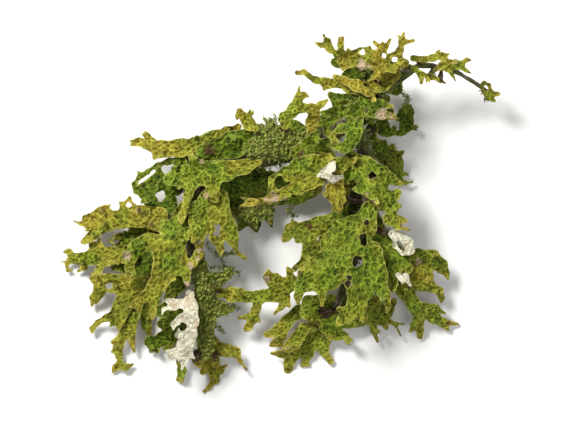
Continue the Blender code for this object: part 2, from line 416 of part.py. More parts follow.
        [(43, 54, 2.8, 36), (50, 54.8, 2.3, 34), (55.4, 53.4, 1, 32)],
        [(43.6, 50.6, 2.8, 36), (50, 49.8, 2.6, 35), (55, 48.6, 1.6, 33), (58.6, 47.6, 0.5, 32)],
    ],
    "lobe_finger_yellow": [
        [(27.2, 68.4, 1.4, 31), (32, 66.4, 2, 32), (38, 63.4, 2.7, 34), (43, 60.8, 2.2, 34),
         (46, 59.4, 1.1, 33)],
        [(36, 65.6, 1.8, 33), (41, 66, 1.2, 33)],
    ],
    "lobe_crown_fingers": [
        [(34, 78, 2.6, 35), (28, 79.6, 2, 36), (24.4, 82.6, 1.6, 37), (20, 84.2, 1.1, 39),
         (17.4, 85.2, 0.6, 40)],
        [(24.2, 82, 1.6, 37), (22.6, 86, 1.1, 39), (21.3, 89, 0.6, 41)],
        [(24.6, 82, 1.4, 37), (24, 86.8, 0.8, 39)],
        [(31, 79, 2, 36), (29.4, 84, 1.3, 37), (29, 87.6, 0.8, 39)],
        [(29.8, 83, 1.2, 37), (31, 87.8, 0.7, 38)],
    ],
    "lobe_right_top_low": [
        [(66, 72.8, 1.6, 30), (70, 69.5, 1.4, 30), (75, 68.6, 1.4, 29), (79, 67, 1.1, 27),
         (82, 65.4, 0.5, 25)],
        [(70, 69, 1.4, 30), (70, 65.6, 1.1, 28)],
    ],
    "lobe_right_top": [
        [(66, 77.6, 1.6, 33), (71, 76.9, 1.6, 34), (76, 77.8, 1.9, 35), (80, 78.8, 1.7, 37),
         (83.4, 79.6, 0.7, 38)],
        [(80.4, 78, 1.6, 36), (84.4, 75.6, 1.2, 36), (87, 74.2, 2, 35)],
        [(76.4, 71.2, 0.8, 30), (80, 73.6, 1.8, 33), (86, 73.8, 2.2, 35), (90, 74.8, 1.7, 36),
         (92.6, 76.9, 0.9, 37), (94.7, 76.5, 0.4, 37)],
        [(89, 73.4, 1.7, 35), (92, 71.6, 0.9, 33), (94.2, 70.3, 0.5, 32)],
        [(83.4, 72, 1.5, 33), (85.4, 69.3, 0.7, 30), (87, 66.5, 0.4, 27)],
    ],
    "lobe_crown": [
        [(32, 76.6, 4.2, 37), (40, 78, 4.6, 40), (48, 76.6, 5, 42), (56, 75.6, 4.2, 40),
         (61.4, 75, 2.6, 37)],
        [(34, 79, 2.4, 38), (33.6, 81.6, 0.9, 38)],
        [(42, 80, 3.4, 41), (44, 83, 1.2, 41)],
        [(49, 78.6, 3, 42), (49.8, 82, 1.7, 43), (46.4, 85.6, 0.8, 45)],
        [(50, 81, 1.7, 43), (50.6, 85.2, 0.8, 45)],
        [(51, 81, 1.7, 43), (54.2, 86.6, 0.8, 45)],
        [(57, 78, 3, 40), (59.4, 82, 1.8, 42), (60.2, 86, 1.4, 44), (58.3, 88.6, 0.7, 45)],
        [(60.2, 86, 1.3, 44), (61, 89.8, 0.8, 45)],
        [(60, 85, 1.3, 43), (65.8, 86.2, 0.9, 43)],
        [(49, 73, 2.6, 40), (46.6, 68.4, 1.2, 37), (43.4, 66.2, 0.5, 35)],
        [(50, 72, 1.8, 39), (48.4, 66, 0.6, 35)],
        [(54, 73, 2.6, 39), (56.6, 70.6, 1, 37)],
        [(32, 75, 2.6, 36), (31, 72.4, 1.1, 34)],
    ],
    "lobe_far_tip": [
        [(100.4, 64.4, 0.8, 20), (101.4, 61, 0.9, 20), (103.6, 58.8, 1.6, 20), (106.6, 56.6, 0.9, 19)],
        [(103.8, 59.4, 1.7, 20), (108.4, 60, 1.3, 21)],
        [(105, 61, 1.4, 20), (104, 64.6, 0.8, 20), (101.6, 65.8, 0.7, 20), (100.4, 64.4, 0.7, 20)],
    ],
}
HOLES = {
    "lobe_right_dark": [(57, 44.6, 1.7)],
    "lobe_left_back": [(-82.8, -13.4, 1.1)],
    "lobe_left_dark": [(-60, 9, 1.9)],
    "lobe_left_golden": [(-83.3, 3.8, 1.7), (-76.2, 5, 0.8)],
    "lobe_left_hand": [(-85.8, -36.4, 1.2)],
    "lobe_pale_left": [(-49.2, -56.4, 1.4)],
    "lobe_left_hanging": [(-31.8, -6.6, 1), (-32, -9.6, 1)],
    "lobe_left_great": [(-45.4, -16, 2.1)],
    "lobe_ridge_arm": [(-0.4, 15.8, 2.2)],
    "lobe_right_great": [(38, -24, 2), (41, -11.6, 1.5), (41.4, -14, 1.2), (42.6, -4, 1.2),
                         (34.4, -31.6, 1.1), (33.4, -35, 1.5)],
    "lobe_right_ridge": [(55.2, 13.2, 1.2), (51, 0.6, 0.8), (45.4, 19, 1.3), (35.2, 15, 1.9)],
    "lobe_centre": [(43, 51.6, 0.9)],
    "lobe_crown": [(40.4, 80.8, 0.9), (51.6, 79, 0.9), (56.6, 76.8, 0.9)],
}


# ---- distances and heights ----------------------------------------------------------------
def branch_fields(branches, narrowest, x, y):
    """Return the lobe's signed distance, its own height and its local half width at each point."""
    distance = np.full(x.shape, 1e3)
    weight = np.zeros(x.shape)
    height = np.zeros(x.shape)
    width = np.zeros(x.shape)
    for branch in branches:
        points = np.array(branch, float)
        points[:, 2] = np.maximum(points[:, 2], narrowest)
        for a, b in zip(points[:-1], points[1:]):
            step = b[:2] - a[:2]
            share = ((x - a[0]) * step[0] + (y - a[1]) * step[1]) / max(step @ step, 1e-6)
            share = np.clip(share, 0.0, 1.0)
            gap = np.hypot(x - a[0] - share * step[0], y - a[1] - share * step[1])
            half = a[2] + share * (b[2] - a[2])
            away = gap - half
            blend = np.clip(0.5 + 0.5 * (away - distance) / SINUS_ROUNDING, 0.0, 1.0)
            merged = away * (1 - blend) + distance * blend
            distance = merged - SINUS_ROUNDING * 0.5 * blend * (1 - blend)
            closeness = np.exp(-np.clip(away, -20.0, 30.0) / 1.5)
            weight += closeness
            height += closeness * (a[3] + share * (b[3] - a[3]))
            width += closeness * half
    return distance, height / weight, width / weight


def outline_field(name, branches, x, y):
    distance, _, _ = branch_fields(branches, NARROWEST, x, y)
    for hole_x, hole_y, radius in HOLES.get(name, []):
        distance = np.maximum(distance, radius - np.hypot(x - hole_x, y - hole_y))
    return distance


def own_height(branches, number, x, y):
    """The height that a lobe would have with nothing in its way."""
    distance, height, width = branch_fields(branches, NARROWEST, x, y)
    depth = np.clip(-distance / np.maximum(width, 0.5), 0.0, 1.0)
    droop = MARGIN_DROOP * width * (1.0 - depth) ** 2
    turn = number * 2.4
    waves = np.sin(x * 0.31 + y * 0.17 + turn) + np.sin(y * 0.37 - x * 0.12 + 2.0 * turn)
    return height - droop + UNDULATION * 0.5 * waves * np.clip(width / 4.0, 0.0, 1.0)


def spread(field, steps):
    """Give each lattice point the highest value found within a few cells of it."""
    for _ in range(steps):
        wide = np.pad(field, 1, mode="edge")
        field = np.maximum(field, np.maximum(wide[2:, 1:-1], wide[:-2, 1:-1]))
        field = np.maximum(field, np.maximum(wide[1:-1, 2:], wide[1:-1, :-2]))
    return field


def softened(field):
    wide = np.pad(field, 1, mode="edge")
    cross = wide[2:, 1:-1] + wide[:-2, 1:-1] + wide[1:-1, 2:] + wide[1:-1, :-2]
    return 0.2 * field + 0.2 * cross


def settle(wish, floor, ceiling):
    """Drape a sheet over the floor below it, keeping it as near its own height as it will go."""
    height = np.minimum(np.maximum(wish, floor), ceiling)
    for _ in range(SETTLING_PASSES):
        height = (1.0 - STIFFNESS) * softened(height) + STIFFNESS * wish
        height = np.maximum(np.minimum(height, ceiling), floor)
    return height


def twig_profile(points, x, y):
    """Return the height of a twig's middle line, its radius and the distance from that line."""
    nearest = np.full(x.shape, 1e3)
    middle = np.zeros(x.shape)
    radius = np.ones(x.shape)
    for a, b in zip(points[:-1], points[1:]):
        step_x = b[0] - a[0]
        step_y = b[1] - a[1]
        share = ((x - a[0]) * step_x + (y - a[1]) * step_y) / (step_x ** 2 + step_y ** 2)
        share = np.clip(share, 0.0, 1.0)
        gap = np.hypot(x - a[0] - share * step_x, y - a[1] - share * step_y)
        closer = gap < nearest
        nearest = np.where(closer, gap, nearest)
        middle = np.where(closer, a[3] + share * (b[3] - a[3]), middle)
        radius = np.where(closer, a[2] + share * (b[2] - a[2]), radius)
    return middle, radius, nearest


def stack_heights():
    """Stack every sheet and return, for each, the height of its top over the lattice."""
    grid_x, grid_y = np.meshgrid(LATTICE_X, LATTICE_Y, indexing="ij")
    tops = np.zeros(grid_x.shape)
    twig_top = np.zeros(grid_x.shape)
    twig_bottom = np.full(grid_x.shape, NOTHING_ABOVE)
    for points in TWIGS.values():
        middle, radius, gap = twig_profile(points, grid_x, grid_y)
        rise = np.sqrt(np.clip((radius + TWIG_SHOULDER) ** 2 - gap ** 2, 0.0, None))
        near = gap < radius + TWIG_SHOULDER
        twig_top = np.where(near, np.maximum(twig_top, middle + rise), twig_top)
        shadow = gap < radius + TWIG_SHADOW
        twig_bottom = np.where(shadow, np.minimum(twig_bottom, middle - radius), twig_bottom)
    heights = {}
    for number, (name, branches) in enumerate(list(UNDER.items()) + list(OVER.items())):
        over = name in OVER
        thick = MOSS_THICKNESS if name.startswith("moss") else LOBE_THICKNESS
        if over and number == len(UNDER):
            lifted = np.where(twig_top > 0.0, twig_top - CLEARANCE + TWIG_CLEARANCE, 0.0)
            tops = np.maximum(tops, spread(lifted, 1))
        distance = outline_field(name, branches, grid_x, grid_y)
        wish = own_height(branches, number, grid_x, grid_y)
        floor = np.where(tops > 0.0, tops + CLEARANCE + thick, thick)
        ceiling = np.full(grid_x.shape, NOTHING_ABOVE)
        if not over:
            ceiling = np.minimum(ceiling, twig_bottom - TWIG_CLEARANCE)
        near = distance < REACH
        floor = np.where(near, floor, thick)
        ceiling = np.maximum(ceiling, floor)
        height = settle(wish, floor, ceiling)
        heights[name] = height
        tops = np.where(near, np.maximum(tops, height), tops)
    return heights


def read_lattice(field, x, y):
    """Interpolate a lattice field at any point."""
    across = np.clip((x - LATTICE_X[0]) / LATTICE, 0.0, len(LATTICE_X) - 1.001)
    along = np.clip((y - LATTICE_Y[0]) / LATTICE, 0.0, len(LATTICE_Y) - 1.001)
    i = across.astype(int)
    j = along.astype(int)
    u = across - i
    v = along - j
    low = field[i, j] * (1 - u) + field[i + 1, j] * u
    high = field[i, j + 1] * (1 - u) + field[i + 1, j + 1] * u
    return low * (1 - v) + high * v


# ---- solids -------------------------------------------------------------------------------
def new_material(name, colour, roughness):
    material = bpy.data.materials.new(name)
    material.use_nodes = True
    shader = material.node_tree.nodes["Principled BSDF"]
    shader.inputs["Base Color"].default_value = (*colour, 1.0)
    shader.inputs["Roughness"].default_value = roughness
    return material


def add_object(name, bm, material, collection):
    bmesh.ops.recalc_face_normals(bm, faces=bm.faces[:])
    for vert in bm.verts:
        vert.co.x = (vert.co.x - MIDDLE_X) * MM
        vert.co.y = (vert.co.y - MIDDLE_Y) * MM
        vert.co.z *= MM
    mesh = bpy.data.meshes.new(name)
    bm.to_mesh(mesh)
    bm.free()
    mesh.materials.append(material)
    item = bpy.data.objects.new(name, mesh)
    collection.objects.link(item)
    return item


def cut_outline(name, branches):
    """Cut a lobe's flat outline out of a grid, then leave out the points it doesn't need."""
    points = np.array([point for branch in branches for point in branch], float)
    margin = points[:, 2].max() + 2.0 * LATTICE
    low = points[:, :2].min(0) - margin
    size = points[:, :2].max(0) + margin - low
    cells_x = int(size[0] / OUTLINE_CELL) + 1
    cells_y = int(size[1] / OUTLINE_CELL) + 1
    bm = bmesh.new()
    bmesh.ops.create_grid(bm, x_segments=cells_x, y_segments=cells_y, size=0.5)
    for vert in bm.verts:
        vert.co.x = low[0] + (vert.co.x + 0.5) * cells_x * OUTLINE_CELL
        vert.co.y = low[1] + (vert.co.y + 0.5) * cells_y * OUTLINE_CELL
    bmesh.ops.triangulate(bm, faces=bm.faces[:], quad_method="FIXED")
    flat = np.array([vert.co[:2] for vert in bm.verts])
    field = outline_field(name, branches, flat[:, 0], flat[:, 1])
    field = np.where(np.abs(field) < RIM_SNAP, -RIM_SNAP, field)
    bm.verts.index_update()
    crossing = []
    for edge in bm.edges:
        first = field[edge.verts[0].index]
        second = field[edge.verts[1].index]
        if first * second < 0.0:
            crossing.append((edge, edge.verts[0], first / (first - second)))
    inside = {vert for vert in bm.verts if field[vert.index] < 0.0}
    rim = set()
    for edge, vert, share in crossing:
        _, added = bmesh.utils.edge_split(edge, vert, share)
        rim.add(added)
    faces = [face for face in bm.faces if rim.intersection(face.verts)]
    for face in faces:
        ends = [vert for vert in face.verts if vert in rim]
        if len(ends) == 2:
            bmesh.utils.face_split(face, ends[0], ends[1])
    outside = [vert for vert in bm.verts if vert not in inside and vert not in rim]
    bmesh.ops.delete(bm, geom=outside, context="VERTS")
    stray = [face for face in bm.faces if not inside.intersection(face.verts)]
    bmesh.ops.delete(bm, geom=stray, context="FACES")
    keep_largest(bm)
    bmesh.ops.dissolve_limit(bm, angle_limit=math.radians(1.0), verts=bm.verts[:],
                             edges=bm.edges[:])
    bmesh.ops.dissolve_limit(bm, angle_limit=math.radians(OUTLINE_ANGLE), verts=bm.verts[:],
                             edges=bm.edges[:])
    return bm


def keep_largest(bm):
    """Leave only the largest connected part of a sheet."""
    unseen = set(bm.faces)
    parts = []
    while unseen:
        seed = unseen.pop()
        part = [seed]
        for face in part:
            for edge in face.edges:
                for beside in edge.link_faces:
                    if beside in unseen:
                        unseen.remove(beside)
                        part.append(beside)
        parts.append(part)
    parts.sort(key=len)
    for part in parts[:-1]:
        bmesh.ops.delete(bm, geom=part, context="FACES")


def refine(bm):
    """Triangulate a flat outline and put points inside it, none on its rim."""
    bmesh.ops.triangulate(bm, faces=bm.faces[:], quad_method="BEAUTY", ngon_method="BEAUTY")
    for _ in range(3):
        long_edges = [edge for edge in bm.edges
                      if not edge.is_boundary and edge.calc_length() > LONGEST_EDGE]
        if not long_edges:
            break
        bmesh.ops.subdivide_edges(bm, edges=long_edges, cuts=1)
        bmesh.ops.triangulate(bm, faces=bm.faces[:], quad_method="BEAUTY", ngon_method="BEAUTY")
        inner = [edge for edge in bm.edges if not edge.is_boundary]
        bmesh.ops.beautify_fill(bm, faces=bm.faces[:], edges=inner)


def add_sheet(name, branches, height, thick, material, collection):
    bm = cut_outline(name, branches)
    refine(bm)
    flat = np.array([vert.co[:2] for vert in bm.verts])
    level = read_lattice(height, flat[:, 0], flat[:, 1])
    for vert, z in zip(bm.verts, level):
        vert.co.z = z - thick
    raised = bmesh.ops.extrude_face_region(bm, geom=bm.faces[:])
    lifted = [item for item in raised["geom"] if isinstance(item, bmesh.types.BMVert)]
    bmesh.ops.translate(bm, verts=lifted, vec=(0.0, 0.0, thick))
    bmesh.ops.triangulate(bm, faces=bm.faces[:])
    return add_object(name, bm, material, collection)


def add_twig(name, points, material, collection):
    """Draw a tapering round twig through its points."""
    curve = bpy.data.curves.new(name, "CURVE")
    curve.dimensions = "3D"
    curve.bevel_depth = MM
    curve.bevel_resolution = 2
    curve.use_fill_caps = True
    spline = curve.splines.new("POLY")
    spline.points.add(len(points) - 1)
    for point, (x, y, radius, z) in zip(spline.points, points):
        point.co = ((x - MIDDLE_X) * MM, (y - MIDDLE_Y) * MM, z * MM, 1.0)
        point.radius = radius
    curve.materials.append(material)
    item = bpy.data.objects.new(name, curve)
    collection.objects.link(item)
    return item


# ---- build --------------------------------------------------------------------------------
for item in list(bpy.data.objects):
    bpy.data.objects.remove(item, do_unlink=True)

lichen = bpy.data.collections.new("lungwort_on_twig")
bpy.context.scene.collection.children.link(lichen)

lobe_green = new_material("lobe_green", (0.23, 0.27, 0.05), 0.75)
lobe_pale = new_material("lobe_pale", (0.72, 0.70, 0.56), 0.85)
moss_green = new_material("moss_green", (0.10, 0.14, 0.03), 0.95)
twig_bark = new_material("twig_bark", (0.16, 0.10, 0.06), 0.9)

sheet_heights = stack_heights()
for sheet_name, sheet_branches in list(UNDER.items()) + list(OVER.items()):
    sheet_material = lobe_green
    sheet_thickness = LOBE_THICKNESS
    if sheet_name.startswith("moss"):
        sheet_material = moss_green
        sheet_thickness = MOSS_THICKNESS
    elif "pale" in sheet_name:
        sheet_material = lobe_pale
    add_sheet(sheet_name, sheet_branches, sheet_heights[sheet_name], sheet_thickness,
              sheet_material, lichen)
for twig_name, twig_points in TWIGS.items():
    add_twig(twig_name, twig_points, twig_bark, lichen)
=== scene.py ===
"""Tree lungwort on a forked twig, picked and laid on a pale surface.

A thin forked twig runs through a heap of leafy lichen fronds. The heap is built up from the
surface as it lies: the fronds under the twig, the ones over it, moss on the bark, then the broad
fronds and the small ones on top. Tables are in millimetres; finished meshes are in metres.
"""

import math

import bmesh
import bpy
import numpy as np
from mathutils import Matrix, Vector


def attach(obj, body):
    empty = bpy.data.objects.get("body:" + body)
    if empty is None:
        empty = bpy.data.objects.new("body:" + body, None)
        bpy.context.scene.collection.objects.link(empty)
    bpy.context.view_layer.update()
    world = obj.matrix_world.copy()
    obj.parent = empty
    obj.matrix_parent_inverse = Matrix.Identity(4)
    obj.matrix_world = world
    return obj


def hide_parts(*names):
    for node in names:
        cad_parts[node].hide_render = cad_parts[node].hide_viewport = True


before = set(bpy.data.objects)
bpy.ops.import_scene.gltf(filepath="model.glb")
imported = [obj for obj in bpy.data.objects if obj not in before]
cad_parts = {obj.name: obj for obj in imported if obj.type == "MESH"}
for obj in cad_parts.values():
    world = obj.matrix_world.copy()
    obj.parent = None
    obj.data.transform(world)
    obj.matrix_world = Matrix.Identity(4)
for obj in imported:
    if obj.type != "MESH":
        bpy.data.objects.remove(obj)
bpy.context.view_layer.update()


# ---- The twig -----------------------------------------------------------------------------
# A dead branch that forks twice and is broken off at both ends. Its grey-brown bark is cracked
# lengthwise. Each part is a ring drawn out along the branch's line, then roughened.
MM = 0.001
MIDDLE = np.array([-0.70, 0.25, 0.0])      # the heap's middle, which lies over the origin

# along each part: x, y, radius and height of its middle
TWIGS = {
    "twig_stem": [
        (-49, 27.5, 2.6, 20.5), (-42, 27.5, 3.4, 21), (-28, 28, 4.2, 21),
        (-8, 28, 4.8, 21), (10, 32, 4.8, 21), (26, 41, 4.5, 21), (38, 52, 4.1, 21.5),
        (50, 63, 3.4, 23), (60, 69, 2.8, 25), (66, 73, 2.4, 27),
    ],
    "twig_tip": [
        (68.4, 74.4, 1.5, 27.5), (76, 74, 1.3, 26), (88, 71, 1.1, 22), (98, 65, 1.0, 18),
        (104, 61, 0.9, 16),
    ],
    "twig_branch_left": [
        (-36.8, 21.3, 2.9, 20), (-43, 10, 2.9, 19.5), (-46, -6, 2.7, 19), (-43, -22, 2.5, 18),
        (-40, -38, 2.2, 16.5), (-39, -54, 1.9, 14.5), (-37.5, -68, 1.5, 12.5),
    ],
    "twig_branch_right": [
        (38.2, 43.2, 3.0, 20.5), (43, 32, 3.2, 20), (44, 16, 3.0, 19.5), (41, -2, 2.8, 19),
        (37, -20, 2.5, 18.5), (32, -36, 2.1, 17.5), (27, -48, 1.7, 16.5),
    ],
}
BRANCH_ROOTS = {                           # where a branch grows out of the stem
    "twig_tip": (62.0, 70.6, 1.9, 25.8),
    "twig_branch_left": (-34.6, 26.4, 3.3, 20.8),
    "twig_branch_right": (35.6, 47.6, 3.4, 21.0),
}
RING_STEP = 1.1
RING_SIDES = 30
BARK_DEPTH = 0.42
BARK_SPREAD = 3.0            # turns an angle round the twig into a length
LINE_ROUNDING_PASSES = 4
BROKEN_INSET = 0.35
BROKEN_DEPTH = 0.12
BARK_GRAIN = 420.0           # patches to a metre
BARK_BROWN = (0.12, 0.080, 0.045)
BARK_GREY = (0.32, 0.27, 0.19)
BARK_CRACK = (0.018, 0.012, 0.008)
BARK_ALGAE = (0.10, 0.125, 0.030)
WOOD_PALE = (0.42, 0.30, 0.17)


def patchy(x, y, size, seed):
    """A smooth field between -1 and 1 with patches about as big as size."""
    table = np.random.default_rng(seed).uniform(-1.0, 1.0, (64, 64))
    u = x / size + 640.0
    v = y / size + 640.0
    i = np.floor(u).astype(int)
    j = np.floor(v).astype(int)
    u = u - i
    v = v - j
    u = u * u * (3.0 - 2.0 * u)
    v = v * v * (3.0 - 2.0 * v)
    near = table[i % 64, j % 64] * (1 - u) + table[(i + 1) % 64, j % 64] * u
    far = table[i % 64, (j + 1) % 64] * (1 - u) + table[(i + 1) % 64, (j + 1) % 64] * u
    return near * (1 - v) + far * v


def add_node(tree, kind, inputs=None, **settings):
    """Add a shader node, with each input linked or set."""
    made = tree.nodes.new("ShaderNode" + kind)
    for setting, value in settings.items():
        setattr(made, setting, value)
    for socket, value in (inputs or {}).items():
        if isinstance(value, bpy.types.NodeSocket):
            tree.links.new(value, made.inputs[socket])
        else:
            made.inputs[socket].default_value = value
    return made


def mixed(tree, factor, first, second):
    """Mix two colours, each a socket or a linear colour."""
    made = add_node(tree, "Mix", data_type="RGBA")
    for socket, value in ((0, factor), (6, first), (7, second)):
        if isinstance(value, bpy.types.NodeSocket):
            tree.links.new(value, made.inputs[socket])
        elif socket == 0:
            made.inputs[0].default_value = value
        else:
            made.inputs[socket].default_value = (*value, 1.0)
    return made.outputs[2]


def reading(tree, name):
    """Read one of the piece's own point attributes."""
    return add_node(tree, "Attribute", attribute_name=name).outputs["Fac"]


def stretched(tree, value, low, high, to_low=0.0, to_high=1.0):
    """Stretch the range from low to high over a new one."""
    made = add_node(tree, "MapRange", {
        "Value": value, "From Min": low, "From Max": high, "To Min": to_low, "To Max": to_high})
    return made.outputs["Result"]


def new_material(name, roughness, specular):
    material = bpy.data.materials.new(name)
    material.use_nodes = True
    shader = material.node_tree.nodes["Principled BSDF"]
    shader.inputs["Roughness"].default_value = roughness
    shader.inputs["Specular IOR Level"].default_value = specular
    return material, material.node_tree, shader


def make_mottling():
    """Mottled tone and fine relief, shared by everything that grew here."""
    group = bpy.data.node_groups.new("grown_mottling", "ShaderNodeTree")
    group.interface.new_socket("Scale", in_out="INPUT", socket_type="NodeSocketFloat")
    group.interface.new_socket("Mottle", in_out="OUTPUT", socket_type="NodeSocketFloat")
    group.interface.new_socket("Relief", in_out="OUTPUT", socket_type="NodeSocketFloat")
    entry = group.nodes.new("NodeGroupInput").outputs["Scale"]
    leave = group.nodes.new("NodeGroupOutput")
    place = add_node(group, "TexCoord").outputs["Object"]
    coarse = add_node(group, "TexNoise", {
        "Vector": place, "Scale": entry, "Detail": 4.0, "Roughness": 0.6})
    finer = add_node(group, "Math", {0: entry, 1: 4.2}, operation="MULTIPLY").outputs[0]
    fine = add_node(group, "TexNoise", {
        "Vector": place, "Scale": finer, "Detail": 3.0, "Roughness": 0.65})
    group.links.new(stretched(group, coarse.outputs["Fac"], 0.36, 0.64), leave.inputs["Mottle"])
    group.links.new(fine.outputs["Fac"], leave.inputs["Relief"])
    return group


mottling = make_mottling()


def mottle(tree, scale):
    """The mottling's tone and its fine grain, in patches about 1 / scale metres wide."""
    made = add_node(tree, "Group", node_tree=mottling)
    made.inputs["Scale"].default_value = scale
    return made.outputs["Mottle"], made.outputs["Relief"]


def bump(tree, shader, height, strength, depth):
    made = add_node(tree, "Bump", {"Height": height, "Strength": strength, "Distance": depth})
    tree.links.new(made.outputs["Normal"], shader.inputs["Normal"])


def make_bark():
    """Grey-brown bark with dark cracks and green algae, and pale wood where it is broken."""
    material, tree, shader = new_material("twig_bark", 0.85, 0.3)
    tone, relief = mottle(tree, BARK_GRAIN)
    colour = mixed(tree, tone, BARK_BROWN, BARK_GREY)
    colour = mixed(tree, stretched(tree, reading(tree, "algae"), 0.3, 0.8), colour, BARK_ALGAE)
    colour = mixed(tree, reading(tree, "crack"), colour, BARK_CRACK)
    colour = mixed(tree, reading(tree, "broken"), colour, WOOD_PALE)
    tree.links.new(colour, shader.inputs["Base Color"])
    tree.links.new(stretched(tree, tone, 0.0, 1.0, 0.7, 0.95), shader.inputs["Roughness"])
    bump(tree, shader, relief, 0.6, 0.0003)
    return material


def add_piece(name, mesh, materials, slot, *nodes):
    """Put a finished mesh on the object, in place of its plain solids."""
    for material in materials:
        mesh.materials.append(material)
    piece = bpy.data.objects.new(name, mesh)
    bpy.context.scene.collection.objects.link(piece)
    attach(piece, "root")
    if nodes:
        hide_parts(*nodes)


def write_attribute(mesh, name, values):
    attribute = mesh.attributes.new(name, "FLOAT", "POINT")
    attribute.data.foreach_set("value", np.clip(values, 0.0, 1.0).astype(np.float32))


def read_points(mesh):
    points = np.empty(len(mesh.vertices) * 3)
    mesh.vertices.foreach_get("co", points)
    return points.reshape(-1, 3)


def write_points(mesh, points):
    """Set the mesh's points, given in millimetres, and shade it smooth."""
    mesh.vertices.foreach_set("co", ((points - MIDDLE) * MM).ravel())
    mesh.shade_smooth()
    mesh.update()


def twig_line(points):
    """Walk along a twig's points in short steps, with its corners rounded."""
    line = np.array(points, float)
    along = np.concatenate([[0.0], np.cumsum(np.hypot(*np.diff(line[:, :2], axis=0).T))])
    stations = np.arange(0.0, along[-1], RING_STEP)
    walk = np.stack([np.interp(stations, along, line[:, k]) for k in (0, 1, 3, 2)], axis=1)
    for _ in range(LINE_ROUNDING_PASSES):
        walk[1:-1] = (walk[:-2] + 2.0 * walk[1:-1] + walk[2:]) / 4.0
    return stations, walk


def draw_twig(name, points, number):
    """Draw a ring out along a twig, close its broken ends, and roughen it into bark."""
    stations, walk = twig_line(points)
    bm = bmesh.new()
    length_layer = bm.verts.layers.float.new("length")
    angle_layer = bm.verts.layers.float.new("angle")
    broken_layer = bm.verts.layers.float.new("broken")
    ring = bmesh.ops.create_circle(bm, segments=RING_SIDES, radius=1.0)["verts"]
    for vert in ring:
        vert[angle_layer] = math.atan2(vert.co.y, vert.co.x)
    edges = bm.edges[:]
    start_edges = edges
    placed = Matrix.Identity(4)
    for k, (station, here) in enumerate(zip(stations, walk)):
        if k > 0:
            drawn = bmesh.ops.extrude_edge_only(bm, edges=edges)["geom"]
            ring = [item for item in drawn if isinstance(item, bmesh.types.BMVert)]
            edges = [item for item in drawn if isinstance(item, bmesh.types.BMEdge)]
        ahead = walk[min(k + 1, len(walk) - 1)] - walk[max(k - 1, 0)]
        turn = Vector(ahead[:3]).to_track_quat("Z", "Y").to_matrix().to_4x4()
        there = Matrix.Translation(here[:3]) @ turn @ Matrix.Scale(here[3], 4)
        bmesh.ops.transform(bm, matrix=there @ placed.inverted(), verts=ring)
        placed = there
        for vert in ring:
            vert[length_layer] = station
    for rim in (start_edges, edges):
        cap = bmesh.ops.edgeloop_fill(bm, edges=rim)["faces"]
        bmesh.ops.inset_region(bm, faces=cap, thickness=BROKEN_INSET, depth=-BROKEN_DEPTH)
    bmesh.ops.recalc_face_normals(bm, faces=bm.faces[:])
    ends = [vert for face in bm.faces if len(face.verts) > 4 for vert in face.verts]
    for vert in ends:
        vert[broken_layer] = 1.0
    mesh = bpy.data.meshes.new(name)
    bm.to_mesh(mesh)
    bm.free()
    length = np.empty(len(mesh.vertices), np.float32)
    angle = np.empty(len(mesh.vertices), np.float32)
    normal = np.empty(len(mesh.vertices) * 3)
    mesh.attributes["length"].data.foreach_get("value", length)
    mesh.attributes["angle"].data.foreach_get("value", angle)
    mesh.vertex_normals.foreach_get("vector", normal)
    arc = np.abs(angle) * BARK_SPREAD
    scales = patchy(length * 0.28, arc, 0.8, number) + 0.6 * patchy(length * 0.5, arc, 0.45, number + 9)
    lumps = patchy(length, arc, 6.0, number + 20)
    swelling = BARK_DEPTH * (0.5 * scales + 0.9 * lumps)
    points = read_points(mesh) + normal.reshape(-1, 3) * swelling[:, None]
    write_attribute(mesh, "crack", (-0.35 - scales) * 1.6)
    write_attribute(mesh, "algae", 0.6 + 0.7 * patchy(length, arc, 4.0, number + 30))
    write_points(mesh, points)
    return mesh


bark = make_bark()
for number, (twig, points) in enumerate(TWIGS.items()):
    if twig in BRANCH_ROOTS:
        points = [BRANCH_ROOTS[twig], *points]
    add_piece(twig.replace("twig", "bark"), draw_twig(twig, points, number), [bark], "twig_bark", twig)
